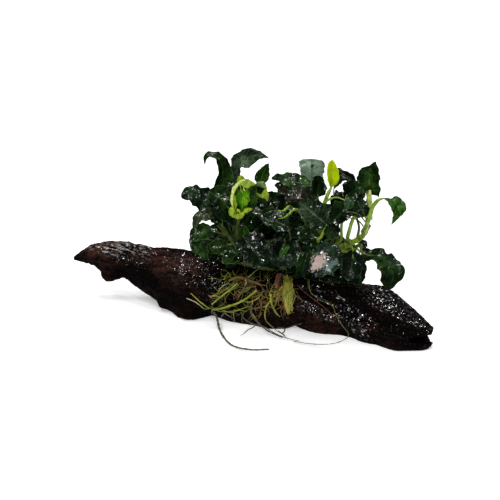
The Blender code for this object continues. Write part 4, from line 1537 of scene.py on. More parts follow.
@dataclass
class InnerLeaves:
    """The many small leaves inside the plant, joined by finish, each on a stalk from the nearest stem."""

    leaves: tuple[InnerLeaf, ...]
    stems: list[Line]
    taken: list[BVHTree]
    materials: dict[LeafKind, bpy.types.Material]
    stalk: bpy.types.Material
    depth_steps: tuple[float, ...] = (0, 2, -2, 4, -4, 6, -6, 8, -8)

    def build(self) -> None:
        """Grows every leaf clear of what is there, and writes one mesh for each finish."""
        skins: dict[LeafKind, Skin] = {}
        for number, leaf in enumerate(self.leaves):
            best = None
            for shift in self.depth_steps:
                net = self.net(leaf, shift)
                trial = LeafSkin(net, 0, Trim(ruffle=0.3), rings=8, half_around=4).blade()
                tree = BVHTree.FromBMesh(trial)
                trial.free()
                touching = sum(len(tree.overlap(other)) for other in self.taken)
                if best is None or touching < best[0]:
                    best = (touching, net, tree)
                if touching == 0:
                    break
            self.taken.append(best[2])
            skin = skins.setdefault(leaf.kind, Skin())
            made = LeafSkin(best[1], number * 5 + 11, Trim(ruffle=0.9, stalk=0.5), rings=34, half_around=14)
            made.add_to(skin)
        for kind, skin in skins.items():
            name = f"inner_{kind.name.lower()}_leaves"
            skin.finish(name, [self.materials[kind], self.stalk], kind.value.slot)

    def net(self, leaf: InnerLeaf, shift: float) -> LeafNet:
        """Draws one inner leaf.

        Args:
            leaf: the leaf.
            shift: how far back it is moved.

        Returns:
            Its net.
        """
        along = paper_direction(leaf.heading)
        normal = facing(0.0, leaf.lean, 1.0)
        along = (along - normal * along.dot(normal)).normalized()
        centre = square(leaf.column, leaf.row, leaf.depth + shift)
        side = along.cross(normal)
        rows = []
        for number in range(8):
            share = number / 7
            fold = math.sin(math.pi * share**0.72) ** 0.6 if 0 < number < 7 else 0.0
            half = max(leaf.width / 2 * fold, 0.8 if number == 0 else 0.0)
            bend = normal * leaf.length * (0.18 * math.sin(math.pi * share) - 0.30 * share**2)
            spot = centre + along * leaf.length * (share - 0.5) + bend
            rows.append([tuple(spot + side * v * half + normal * 0.12 * half * v * v) for v in ACROSS])
        base = Vector(rows[0][2])
        places = (point for line in self.stems for point in line.points)
        near = min(places, key=lambda point: (point - base).length)
        bow = (base - near) * 0.5 + Vector((0, 0, 2.5))
        stalk = [near + (base - near) * 0.12, near + bow, base - along * 1.5, base]
        return LeafNet(np.array(rows), stalk)


@dataclass(frozen=True)
class Rootlet:
    """A thin root through squares of the layout's paper.

    A point of two numbers lies on the wood, and one of three has its height above the floor as the third.
    """

    points: tuple[tuple[float, ...], ...]
    radius: float = 0.45
    lift: float = 0.8
    tone: RootTone = RootTone.GREEN


@dataclass(frozen=True)
class Tangle:
    """A patch of fine threads: its squares from and to, how many, their radius, heading and finish."""

    columns: tuple[float, float]
    rows: tuple[float, float]
    count: int
    radius: float
    heading: float
    spread: float
    lift: float
    tone: RootTone


@dataclass
class Roots:
    """The main roots over their solids, and the thin ones that lie on the wood's front."""

    nodes: dict[str, bpy.types.Object]
    wood: Driftwood
    listed: tuple[Rootlet, ...]
    tangles: tuple[Tangle, ...]
    tones: dict[str, tuple[RootTone, float]]
    step: float = 0.9
    sides: int = 12
    lumps: float = 0.35
    lump_size: float = 1.7
    thread_step: float = 2.2
    thread_sides: int = 6
    tangle_seed: int = 21
    strands: int = 96
    strand_seed: int = 8

    def build(self) -> None:
        """Makes the main roots, the listed thin ones and the tangles."""
        materials = [tone.value.material() for tone in RootTone]
        numbers = {tone: number for number, tone in enumerate(RootTone)}
        for name, (tone, thickness) in self.tones.items():
            dress = [materials[numbers[tone]]]
            if name == CROWN:
                dress.append(materials[numbers[RootTone.GREEN]])
            self.main_root(name, dress, thickness)
        skin = Skin()
        for rootlet in self.listed:
            spots = [self.spot(point, rootlet.lift) for point in rootlet.points]
            self.thread(skin, spots, rootlet.radius, numbers[rootlet.tone])
        chance = random.Random(self.tangle_seed)
        for tangle in self.tangles:
            for _ in range(tangle.count):
                self.wander(skin, chance, tangle, numbers[tangle.tone])
        skin.finish("root_tangle", materials, "root_tan")

    def spot(self, point: tuple[float, ...], lift: float) -> Union[Vector, None]:
        """The place of one point of a thin root.

        Args:
            point: its square, and its height above the floor if it doesn't lie on the wood.
            lift: its height above the wood.

        Returns:
            The place, or None beside the wood.
        """
        if len(point) == 3:
            return square_at(*point)
        flat = square(point[0], point[1], 0.0)
        return self.wood.spot(flat, lift)

    def thread(self, skin: Skin, spots: list[Union[Vector, None]], radius: float, material: int) -> None:
        """Adds a thin root.

        Args:
            skin: the skin that it is added to.
            spots: the places that it runs through, with None for those to leave out.
            radius: its radius.
            material: the number of its material.
        """
        knots = [spot for spot in spots if spot is not None]
        if len(knots) > 1:
            radii = [radius * 0.9, radius, radius * 0.85, radius * 0.4]
            skin.add(tube(knots, radii, 1.2, self.thread_sides), material)

    def wander(self, skin: Skin, chance: random.Random, tangle: Tangle, material: int) -> None:
        """Adds one thread of a tangle.

        Args:
            skin: the skin that it is added to.
            chance: the source of its random numbers.
            tangle: the tangle.
            material: the number of its material.
        """
        spot = square(chance.uniform(*tangle.columns), chance.uniform(*tangle.rows), 0.0)
        heading = chance.gauss(tangle.heading, tangle.spread)
        curl = chance.gauss(0, 12)
        lift = chance.uniform(0.2, tangle.lift)
        spots = []
        count = chance.randint(4, 7)
        for number in range(count):
            rise = math.sin(math.pi * (0.1 + 0.8 * number / count))
            spots.append(self.wood.spot(spot, lift * rise))
            spot = spot + paper_direction(heading) * self.thread_step
            heading += curl + chance.gauss(0, 18)
            if spots[-1] is None:
                break
        self.thread(skin, spots, tangle.radius * chance.uniform(0.7, 1.3), material)

    def main_root(self, name: str, materials: list[bpy.types.Material], thickness: float) -> None:
        """Makes one main root over its solid.

        Args:
            name: the solid's name.
            materials: the root's material, and for the crown the one of every other strand.
            thickness: its thickness as a share of the solid's.
        """
        spots, radii = Line.of(self.nodes[name]).sampled(self.step)
        for ring, spot in enumerate(spots):
            radii[ring] *= thickness * (1 + 0.3 * noise.noise(Vector(spot) / 3.0))
        points = lumpy_tube(spots, radii, self.sides, self.lumps, self.lump_size)
        points[:, :, 2] = np.maximum(points[:, :, 2], 0.05)
        skin = Skin()
        skin.add(wrap(points))
        if name == CROWN:
            self.tuft(skin, spots, radii)
        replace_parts(skin.finish(f"{name}_skin", materials, "root_tan"), name)

    def tuft(self, skin: Skin, spots: np.ndarray, radii: np.ndarray) -> None:
        """Covers the root crown with strands that run down it and fray at its foot.

        Args:
            skin: the crown's skin.
            spots: the crown's middle line.
            radii: its radii.
        """
        chance = random.Random(self.strand_seed)
        _, across, normals = frames_along(spots, RING_START)
        for number in range(self.strands):
            angle = chance.uniform(-0.6, math.pi + 0.6)
            twist = chance.uniform(-2.0, 2.0)
            first = chance.uniform(0.0, 0.6)
            last = min(first + chance.uniform(0.25, 0.7), 1.0)
            knots = []
            for share in np.linspace(first, last, 6):
                at = min(int(share * (len(spots) - 1)), len(spots) - 1)
                turned = angle + twist * share + chance.gauss(0, 0.26)
                out = across[at] * math.cos(turned) + normals[at] * math.sin(turned)
                knots.append(spots[at] + out * (radii[at] + chance.uniform(0.0, 2.4)))
            radius = chance.uniform(0.2, 0.46)
            strand = [radius * 0.6, radius, radius, radius * 0.3]
            skin.add(tube(knots, strand, 1.3, self.thread_sides), number % 2)


@dataclass
class Studio:
    """The camera, the pale floor and the soft lights."""

    lens: float = 240.0
    world_strength: float = 0.10
    floor_glow: float = 0.35
    soft_lights: tuple[tuple[str, tuple[float, float, float], float, float], ...] = (
        ("soft light in front", (-0.40, -0.85, 1.25), 0.50, 4.5),
        ("soft light above", (0.05, 0.45, 1.35), 0.80, 6.0),
    )
    sparkles: tuple[tuple[float, float, float], ...] = (
        (-0.55, -0.30, 1.15), (-0.20, 0.55, 1.10), (0.25, -0.75, 1.10), (0.70, 0.20, 1.05),
        (0.05, -0.20, 1.30), (-0.75, 0.30, 0.95), (0.50, -1.15, 0.85), (0.00, -1.20, 0.70),
    )
    sparkle_size: float = 0.17
    sparkle_power: float = 2.6

    def build(self) -> None:
        """Sets up the camera, the floor and the lights."""
        self.camera()
        self.floor()
        for name, spot, size, power in self.soft_lights:
            self.light(name, spot, size, power)
        for number, spot in enumerate(self.sparkles):
            self.light(f"sparkle light {number + 1}", spot, self.sparkle_size, self.sparkle_power)
        bpy.context.scene.view_settings.view_transform = "Standard"
        world = bpy.data.worlds.new("studio")
        bpy.context.scene.world = world
        world.use_nodes = True
        sky = world.node_tree.nodes["Background"]
        sky.inputs["Color"].default_value = (1.0, 1.0, 1.0, 1.0)
        sky.inputs["Strength"].default_value = self.world_strength

    def camera(self) -> None:
        """Places the camera along the layout's line of sight."""
        data = bpy.data.cameras.new("camera")
        data.lens = self.lens
        data.sensor_width = 36.0
        camera = linked("camera", data)
        turned = Matrix((VIEW_RIGHT, VIEW_UP, VIEW_NEAR)).transposed().to_4x4()
        camera.matrix_world = Matrix.Translation(EYE * MM) @ turned
        bpy.context.scene.camera = camera

    def floor(self) -> None:
        """Lays a plain pale floor."""
        shape = bmesh.new()
        bmesh.ops.create_grid(shape, x_segments=1, y_segments=1, size=4.0)
        mesh = mesh_of(shape, "floor")
        paint = Paint("pale floor", Roughness=0.9, Emission_Strength=self.floor_glow)
        paint.shader.inputs["Emission Color"].default_value = (1.0, 1.0, 1.0, 1.0)
        paint.shader.inputs["Base Color"].default_value = (0.88, 0.88, 0.88, 1.0)
        mesh.materials.append(paint.material)
        linked("floor", mesh)

    def light(self, name: str, spot: tuple[float, float, float], size: float, power: float) -> None:
        """Adds a square soft light that looks at the plant.

        Args:
            name: the light's name.
            spot: its place, in metres.
            size: the length of its sides, in metres.
            power: its power, in watts.
        """
        data = bpy.data.lights.new(name, "AREA")
        data.size = size
        data.energy = power
        lamp = linked(name, data)
        lamp.location = spot
        lamp.rotation_euler = (Vector((0, 0, 0.05)) - Vector(spot)).to_track_quat("-Z", "Y").to_euler()


# The thick tuft that the roots start from
CROWN = "root_crown"

# The stems that leaves grow from
SHOOTS = ("rhizome", "shoot_left", "shoot_centre", "shoot_middle")

KNOBS = tuple(
    Knob(*row)
    for row in (
        (96, 266, 3.0, 0.6), (104, 275, 4.2, 2.0), (112, 278, 4.4, 2.0), (121, 273, 3.4, -2.8),
        (132, 281, 4.0, -1.6), (141, 288, 3.0, 0.6), (148, 297, 6.0, -3.6), (161, 305, 3.6, 1.6),
        (169, 308, 2.8, -1.0), (184, 317, 4.0, 1.4), (194, 320, 4.5, 2.2), (205, 316, 4.5, -2.6),
        (122, 243, 9.0, -3.0), (141, 246, 7.0, 2.4), (92, 246, 6.0, 1.6), (76, 256, 5.0, 0.8),
        (133, 255, 7.0, -3.4), (390, 312, 9.0, 1.2), (322, 297, 6.0, -2.2), (337, 304, 6.0, -2.4),
        (352, 311, 6.0, -2.0), (367, 317, 6.0, -1.4), (414, 334, 5.0, -2.2),
    )
)

# Every leaf that has a solid of its own, under its name without "leaf_"
LEAVES = {
    "left_hook": Trim(
        LeafKind.MOSSY, ruffle=0.6, fold=0.3,
        outline=Outline(
            ((213, 189), (214.5, 180), (215.5, 172), (216, 165), (214, 159.5), (210, 157.5), (206.5, 160),
             (205.2, 165)),
            ((231.5, 188), (232, 177), (229.5, 167), (224, 158), (215.5, 154), (208, 153.3), (203.5, 157),
             (204.6, 165)),
        ),
    ),
    "left_arch": Trim(
        LeafKind.GREY, ruffle=0.8, stalk=1.2, fold=0.25,
        outline=Outline(
            ((233, 182), (231.5, 174), (231.8, 166), (234, 158.5), (240, 152), (248.5, 148), (259, 151),
             (268.8, 157.3)),
            ((241.5, 181), (242, 175), (242.5, 169.5), (245.5, 167.8), (250, 168.5), (254.5, 164),
             (261, 159.5), (269, 158)),
        ),
    ),
    "far_left": Trim(
        LeafKind.CRINKLED, ruffle=1.3, stalk=1.3,
        outline=Outline(
            ((213, 210), (207, 213), (199, 214), (195, 209), (192, 204), (187.5, 200.5), (184, 200),
             (181, 197)),
            ((215, 199), (212, 191), (206, 189.5), (200.5, 188), (194, 186.8), (188, 187.8), (184, 189.5),
             (181, 193.5)),
        ),
    ),
    "left_broad": Trim(LeafKind.MOSSY, stalk=1.2),
    "left_olive": Trim(
        LeafKind.OLIVE, ruffle=0.5, stalk=1.3,
        outline=Outline(
            ((213, 218), (209, 221), (205, 221.3), (202, 221), (200.5, 222.5), (199.5, 225), (198, 228),
             (195, 231)),
            ((211, 207.5), (206, 208), (201, 210), (197, 212.5), (194.5, 216), (193, 220), (192.5, 224.5),
             (193.5, 229.5)),
        ),
    ),
    "left_low": Trim(
        LeafKind.MOSSY, ruffle=0.9, stalk=1.3,
        outline=Outline(
            ((216, 234), (212, 237), (207, 239.5), (202, 241), (197, 242), (193, 242), (190.5, 241),
             (189.8, 238.5)),
            ((219, 231), (213, 227), (207, 224.5), (201, 224), (196, 225.5), (192.5, 228.5), (190.3, 232),
             (189.5, 236.5)),
        ),
    ),
    "left_hanging": Trim(
        LeafKind.MOSSY, ruffle=0.7, stalk=1.2,
        outline=Outline(
            ((211, 240), (210.5, 243), (210, 246), (209.5, 249), (209, 252), (208.5, 255), (208, 258),
             (206.5, 260.5)),
            ((200, 239), (194, 240), (191, 243), (191.5, 247), (194, 250.5), (198, 253.5), (202, 257),
             (206, 260)),
        ),
    ),
    "left_inner": Trim(stalk=1.2),
    "left_cup": Trim(
        LeafKind.MOSSY, ruffle=0.5, stalk=1.2,
        outline=Outline(
            ((229, 250), (226.5, 252.5), (223.5, 254.5), (220, 254.8), (216.5, 254), (213, 252),
             (210.5, 250), (209, 248)),
            ((225, 240), (221, 239.5), (217, 240), (214, 241.5), (212, 243), (210.5, 244.5), (209.5, 246),
             (208.8, 247.5)),
            cup=2.0,
        ),
    ),
    "young_curled": Trim(LeafKind.YOUNG),
    "young_folded": Trim(LeafKind.YOUNG_OUTSIDE),
    "small_bright": Trim(LeafKind.VIVID),
    "front_dark": Trim(LeafKind.SHINY, ruffle=1.2, crumple=0.5),
    "pale_tip": Trim(LeafKind.TIPPED),
    "green_triangle": Trim(
        LeafKind.VIVID, ruffle=0.4,
        outline=Outline(
            ((256.5, 182.5), (255, 179), (255.2, 175.5), (256.8, 172), (259.5, 169), (262.8, 166.5),
             (266, 164.5), (268.6, 163)),
            ((263, 184), (267, 182), (269.5, 178.5), (270, 175), (270, 171.5), (269.8, 168.5),
             (269.5, 165.5), (269, 163.2)),
        ),
    ),
    "centre_reach": Trim(
        LeafKind.MOSSY, ruffle=0.7,
        outline=Outline(
            ((309, 187), (303, 190), (297, 191), (291, 190), (286, 187), (281, 183.5), (276, 181),
             (271.5, 179.5)),
            ((311, 181), (307, 178), (301, 175), (295, 173.2), (289, 173.4), (283, 174), (277, 174.3),
             (271.2, 177.5)),
        ),
    ),
    "dark_behind": Trim(
        ruffle=0.6,
        outline=Outline(
            ((277, 205), (276.5, 200), (276.5, 195), (277, 191), (277.5, 187), (278, 184), (279.5, 181.5),
             (281.5, 180)),
            ((285, 205), (290, 201), (292, 197), (293, 193), (292, 189), (290, 186), (287, 183),
             (283, 180.5)),
        ),
    ),
    "mottled": Trim(LeafKind.BROWN),
    "centre_left": Trim(
        LeafKind.MOSSY, ruffle=1.1, stalk=1.1, fresh=True,
        path=((288, 226, 6), (292, 209, 2), (289, 206.5, -14), (283, 211.5, -19), (278, 211, -18)),
        outline=Outline(
            ((275, 214), (270, 217), (265, 219), (260, 219.5), (256, 218.5), (252.5, 216.5), (249.5, 213.5),
             (247, 210.5)),
            ((276, 208), (271, 206.5), (266, 205), (261, 204), (256, 203.5), (252, 204), (249, 206),
             (246.8, 209)),
        ),
    ),
    "centre_under": Trim(
        LeafKind.MOSSY, stalk=1.3, fresh=True,
        path=((308, 230, 8), (300, 212, -8), (294, 210, -22), (289, 213.5, -26), (284, 217.5, -26),
         (278, 218.5, -25)),
    ),
    "centre_teal": Trim(LeafKind.TEAL, crumple=0.45),
    "centre_front": Trim(LeafKind.CRINKLED),
    "low_middle": Trim(),
    "silver": Trim(
        LeafKind.SILVER, ruffle=0.3, fold=0.0,
        outline=Outline(
            ((308, 186), (301.5, 181), (300.2, 176), (299.8, 171), (299.2, 167), (299.2, 163.5),
             (299.5, 160.2), (305, 158.8)),
            ((316, 186), (322.5, 181), (324, 176), (324.2, 171), (324.3, 167), (324.5, 164), (323.5, 161.3),
             (316, 158.9)),
            cup=-1.0,
        ),
    ),
    "grey_small": Trim(
        ruffle=0.5,
        outline=Outline(
            ((316, 196), (312.5, 191), (311.5, 187), (311.5, 183), (312, 180), (313, 177.5), (314.5, 175.8),
             (316.5, 175)),
            ((319.5, 196), (322.5, 191), (324, 187), (324.3, 183), (324, 180), (323, 177.5), (321, 176),
             (318.5, 175)),
        ),
    ),
    "diagonal": Trim(
        LeafKind.GREY, stalk=1.3, fresh=True,
        path=((318, 240, -18), (321.5, 236, -21), (323.5, 231, -22)),
    ),
    "curved_grey": Trim(
        fresh=True,
        path=((322.5, 212, -12), (324.5, 204, -14), (329, 199.5, -15), (336, 197.5, -15), (342, 199, -15)),
    ),
    "young_upright": Trim(
        LeafKind.LIME, ruffle=0.3, stalk=1.6, fresh=True,
        path=((320, 232, -6), (322.5, 222, -8), (322.5, 212, -9), (324.5, 203, -8), (327.5, 195, -6),
         (330.5, 189, -3)),
        outline=Outline(
            ((330, 187), (328.3, 183), (327, 178), (326.8, 173), (326.8, 169), (327.6, 165), (329, 162),
             (331.8, 159.5)),
            ((332.5, 187), (335, 184.5), (338, 181.5), (339.5, 177), (339.2, 172), (337.5, 167.5),
             (335.8, 163.5), (332.8, 159.5)),
        ),
    ),
    "dark_arch": Trim(
        ruffle=0.7,
        outline=Outline(
            ((333.5, 186), (335, 178), (337, 170), (340, 168.5), (344, 170.5), (349, 172.5), (353.5, 175.5),
             (356.5, 182)),
            ((334.5, 189), (338, 187), (341, 184.5), (344, 182.5), (347, 181.5), (350, 181.5), (353, 182.5),
             (356.5, 184)),
        ),
    ),
    "blue_grey": Trim(
        stalk=1.2, fresh=True,
        path=((338, 243, -12), (341.5, 238, -13), (341.3, 230, -14), (342, 221, -14), (344, 210, -13)),
    ),
    "middle_dark": Trim(),
    "right_teal": Trim(
        LeafKind.TEAL, stalk=1.5, fresh=True,
        path=((347.5, 238, -12), (349.5, 230, -13), (351.5, 223, -13), (355, 217, -12)),
    ),
    "right_droop": Trim(
        ruffle=0.9, stalk=1.3, fold=0.15,
        outline=Outline(
            ((363, 248), (373, 249), (383, 249.5), (390.5, 255.5), (398.5, 261.5), (404.3, 269.5),
             (397.5, 283), (391.5, 289.5)),
            ((361, 256), (366.5, 262.5), (373, 263.5), (377.5, 268.5), (379.8, 274.5), (381, 281),
             (384, 287), (388, 290)),
        ),
    ),
    "right_shiny": Trim(LeafKind.CRINKLED, crumple=0.5, fresh=True),
    "right_hanging": Trim(
        ruffle=0.6, fresh=True,
        outline=Outline(
            ((364, 256), (365, 259), (365.5, 262), (365.5, 266), (365, 270), (364.5, 274), (364, 278),
             (362.5, 282)),
            ((356, 256), (355, 259), (354.5, 262), (355, 266), (356, 270), (357.5, 274), (359.5, 278),
             (362, 282)),
        ),
    ),
    "patched": Trim(LeafKind.PATCHED, crumple=0.4),
    "upper_right": Trim(
        LeafKind.MOSSY, ruffle=0.9, fold=0.2, fresh=True,
        outline=Outline(
            ((363, 192), (355, 190), (357, 183.5), (357.3, 178), (358.5, 172.5), (361, 167.5), (367.5, 166),
             (374.8, 161.2)),
            ((370, 192), (379, 196.5), (380.8, 188), (380.5, 181), (381.2, 176.5), (379.5, 171.5),
             (377.8, 166), (376, 161.2)),
        ),
    ),
    "far_right": Trim(
        LeafKind.BRIGHT, ruffle=0.8, stalk=1.7, fresh=True,
        path=((367.5, 223, -14), (370.5, 214, -16), (373, 206.5, -17), (378, 200.5, -17),
         (383, 198.6, -17)),
        outline=Outline(
            ((385, 197.8), (390.5, 199), (397, 198), (402, 200.5), (405.3, 206), (404.5, 212),
             (398.5, 217.5), (391.5, 225)),
            ((385.5, 200.5), (387.5, 202), (388.6, 204.5), (389.3, 207.5), (391, 210.5), (392.3, 214),
             (392.3, 218.5), (391, 225)),
        ),
    ),
    "back_left": Trim(),
    "back_centre": Trim(),
    "back_middle": Trim(),
    "back_right": Trim(),
}

ROLLED_LEAVES = {
    "young_curled": RolledLeaf(
        (
            Outline(
                ((238, 213), (235, 209), (233.5, 205), (233.5, 200), (234, 195), (235.5, 191), (238, 187),
                 (242, 184)),
                ((250, 211), (254, 207), (256.5, 203), (257, 199), (257, 195), (256.5, 191), (256, 187.5),
                 (253, 184)),
                cup=2.0, shift=2.0, material=4,
            ),
            Outline(
                ((246.5, 188.5), (249, 192), (249.5, 196), (249, 200), (248, 203), (246.5, 206),
                 (244.3, 209.5), (241.5, 212)),
                ((238, 190.5), (236.6, 194), (236, 198), (236.2, 201), (237, 204), (238.2, 207),
                 (239.6, 209.8), (241, 212)),
                cup=-1.6,
            ),
            Outline(
                ((239, 182.5), (242, 180), (245, 178.8), (248, 179), (251, 180.4), (253.5, 182),
                 (255, 183.2), (256, 184)),
                ((238.5, 186), (241, 185.5), (243.5, 186.5), (246.5, 188.5), (249.5, 187.8), (252, 186.2),
                 (254.3, 185.2), (256, 184.8)),
                cup=-1.2, shift=-2.0, material=3,
            ),
            Outline(
                ((237, 183), (236.8, 181.5), (237, 180), (237.3, 178.8), (237.8, 177.6), (238.6, 176.6),
                 (239.8, 175.8), (241.2, 175.2)),
                ((243.5, 182), (244.6, 180.6), (245, 179.4), (244.8, 178.2), (244.3, 177.2), (243.6, 176.4),
                 (242.8, 175.8), (241.8, 175.2)),
                cup=-1.0, material=3,
            ),
        ),
        (
            Roll(((245, 180, 0.5), (241.5, 181, 1.0), (238, 184, 1.3), (234.8, 188, 1.4),
             (232.8, 193, 1.35), (232, 198, 1.25), (232.2, 203, 1.0), (233.2, 207.5, 0.6)), 3.0, 2),
            Roll(((234.8, 196, 0.7), (235, 200, 1.1), (235.6, 204, 1.2), (236, 208.5, 0.8)), 2.0, 3),
            Roll(((240.6, 186, 0.3), (240.8, 189, 0.4), (241.4, 192, 0.4)), 2.6, 3),
            Roll(((243.4, 186.5, 0.3), (243.6, 188.5, 0.4), (244.8, 191, 0.4)), 2.8, 2),
            Roll(((243.5, 196, 0.3), (244.6, 199, 0.45), (245.3, 203, 0.4), (245, 206, 0.25)), 1.6, 3),
            Roll(((234, 206.5, 1.1), (232.4, 210, 2.5), (232.6, 213, 2.9), (234, 215, 2.5),
             (236.5, 216, 1.5), (238, 214, 0.8)), 3.2, 3),
            Roll(((235.5, 217.5, 0.9), (238.5, 217, 1.9), (241, 215.5, 2.1), (243, 213.5, 1.6),
             (243.8, 211.5, 0.7)), 2.6, 3),
            Roll(((237, 212.5, 0.5), (238, 209.5, 0.8), (239.5, 211.5, 0.8), (240, 213.5, 0.5)), 2.6, 3),
            Roll(((243.5, 212.5, 0.9), (245.8, 211, 2.0), (248, 210, 1.9), (250.3, 209.6, 1.2),
             (252.3, 209.5, 0.5)), 2.0, 3),
        ),
        (239, 218),
        1,
    ),
    "young_folded": RolledLeaf(
        (
            Outline(
                ((250.5, 187), (253, 185), (256, 183.5), (258.5, 182), (261, 181.2), (263.5, 182.3),
                 (265.5, 184.5), (267, 187.5)),
                ((251.5, 188.3), (254, 187.3), (256.5, 186.8), (259, 187), (261.5, 187.5), (263.5, 188.3),
                 (265.3, 189.5), (266.8, 191)),
                cup=-1.2,
            ),
            Outline(
                ((250.5, 189.8), (253.5, 190.2), (256, 192), (258.5, 193.8), (261, 194), (263, 192.5),
                 (265.5, 189.5), (268.8, 193.5)),
                ((251, 191.8), (253.5, 193), (256, 195.2), (258.5, 197), (261.5, 198), (264.5, 198.8),
                 (267.3, 201), (269, 196)),
                cup=-0.8, shift=-1.0, material=3,
            ),
            Outline(
                ((254, 204), (252, 200), (251.5, 196), (252, 192), (253, 189.5), (255, 187.5), (257, 186.3),
                 (259, 185)),
                ((262, 204), (267, 200), (268, 196), (267.5, 192.5), (267, 190), (266, 188), (264, 186.3),
                 (261, 185)),
                shift=3.0, material=4,
            ),
        ),
        (
            Roll(((266, 186, 0.3), (266.8, 189, 0.4), (266.8, 192, 0.4)), 1.0, 2),
            Roll(((253.3, 193.5, 0.25), (254.6, 197, 0.35), (256.8, 201.5, 0.3)), 0.6, 3),
        ),
        (257, 202),
        4,
    ),
}

INNER_LEAVES = tuple(
    InnerLeaf(*row)
    for row in (
        (221, 206, 6, 120, 24, 17, 0.3), (217, 213, 2, 175, 18, 12, 0.5),
        (231, 222, 6, 100, 22, 16, 0.3, LeafKind.MOSSY), (218, 233, 2, 165, 20, 15, 0.5, LeafKind.OLIVE),
        (229, 243, 0, 200, 20, 14, 0.6), (247, 230, 4, 80, 22, 17, 0.3), (255, 216, 6, 60, 22, 17, 0.3),
        (266, 227, 2, 30, 20, 15, 0.5), (263, 243, -4, 20, 20, 16, 0.5), (274, 238, 6, 70, 22, 17, 0.4),
        (293, 227, 4, 60, 22, 17, 0.4), (295, 243, -4, 20, 22, 16, 0.5), (306, 219, 8, 90, 22, 16, 0.3),
        (301, 203, 6, 130, 20, 15, 0.4), (309, 235, -6, 30, 20, 15, 0.5), (314, 248, -8, 0, 20, 14, 0.5),
        (273, 201, 10, 30, 18, 14, 0.3), (291, 190, 12, 100, 18, 14, 0.3), (328, 214, 6, 80, 20, 15, 0.3),
        (340, 211, 6, 60, 16, 12, 0.3), (237, 259, -12, 210, 18, 13, 0.7),
        (269, 262, -12, 330, 18, 14, 0.6), (327, 259, -12, 330, 18, 14, 0.6),
        (239, 219, 22, 110, 24, 18, 0.8), (261, 232, 26, 100, 24, 18, 0.9), (287, 216, 26, 80, 24, 18, 0.8),
        (314, 224, 24, 70, 24, 18, 0.9), (331, 234, 22, 60, 20, 14, 0.9),
        (221, 238, 20, 150, 22, 17, 0.9, LeafKind.BRIGHT),
        (218, 247, -18, 200, 18, 13, 0.6, LeafKind.MOSSY),
        (230, 254, -22, 240, 15, 12, 0.6, LeafKind.MOSSY), (210, 250, -18, 230, 16, 13, 0.5),
        (262, 199, 0, 40, 18, 13, 0.4), (283, 188, 4, 140, 16, 9, 0.4, LeafKind.BROWN),
        (271, 254, -22, 300, 18, 14, 0.5), (291, 256, -20, 330, 18, 14, 0.5),
        (333, 231, -14, 60, 14, 11, 0.4), (350, 202, -16, 70, 12, 7, 0.4, LeafKind.TEAL),
        (205, 203, -2, 160, 20, 14, 0.5), (224, 192, 4, 110, 18, 12, 0.3), (306, 198, 16, 60, 24, 20, 0.3),
        (303, 254, 4, 20, 22, 18, 0.4), (335, 243, 4, 20, 20, 14, 0.4), (285, 199, 16, 90, 20, 15, 0.3),
        (215, 242, 4, 170, 20, 16, 0.4), (352, 207, 4, 60, 16, 13, 0.3), (319, 188, 8, 80, 14, 12, 0.3),
        (359, 205, 2, 100, 15, 10, 0.3), (241, 233, -2, 250, 14, 10, 0.4, LeafKind.BRIGHT),
        (218, 256, -12, 200, 16, 9, 0.6), (218, 221, -6, 330, 12, 8, 0.4), (322, 273, -16, 345, 17, 9, 0.6),
        (303, 273, -16, 200, 14, 9, 0.6), (250, 254, -30, 230, 13, 9, 0.5, LeafKind.TIPPED),
        (284, 251, -32, 235, 11, 5, 0.4, LeafKind.VIVID), (358, 272, -6, 280, 17, 13, 0.4),
        (346, 275, -10, 350, 18, 11, 0.5), (332, 276, -10, 350, 13, 8, 0.5),
        (318, 278, -12, 350, 20, 8, 0.6), (363, 244, 4, 80, 9, 7, 0.4), (356, 193, -4, 110, 15, 12, 0.3),
        (347, 280, -12, 355, 20, 9, 0.6), (295, 269, -10, 0, 13, 8, 0.5), (347, 249, 2, 20, 18, 11, 0.4),
        (337, 247, 2, 10, 14, 10, 0.4), (234, 214, 4, 90, 18, 14, 0.3), (331, 280, -12, 0, 14, 7, 0.6),
        (234, 188, -3, 100, 15, 10, 0.3), (236, 199, -5, 90, 18, 10, 0.3),
    )
)

# The finish of each main root, and its thickness as a share of the solid's
ROOT_TONES = {
    CROWN: (RootTone.STRAW, 0.36),
    "root_front_drop": (RootTone.BROWN, 0.8),
    "root_left_upper": (RootTone.GREEN, 0.62),
    "root_loop": (RootTone.DULL, 0.36),
    "root_low_drop": (RootTone.BROWN, 0.8),
    "root_main_left": (RootTone.GREEN, 0.72),
    "root_orange": (RootTone.ORANGE, 0.75),
    "root_pair": (RootTone.GREEN, 0.66),
    "root_right_drop": (RootTone.GREEN, 0.75),
    "root_stub": (RootTone.STUB, 1.15),
}

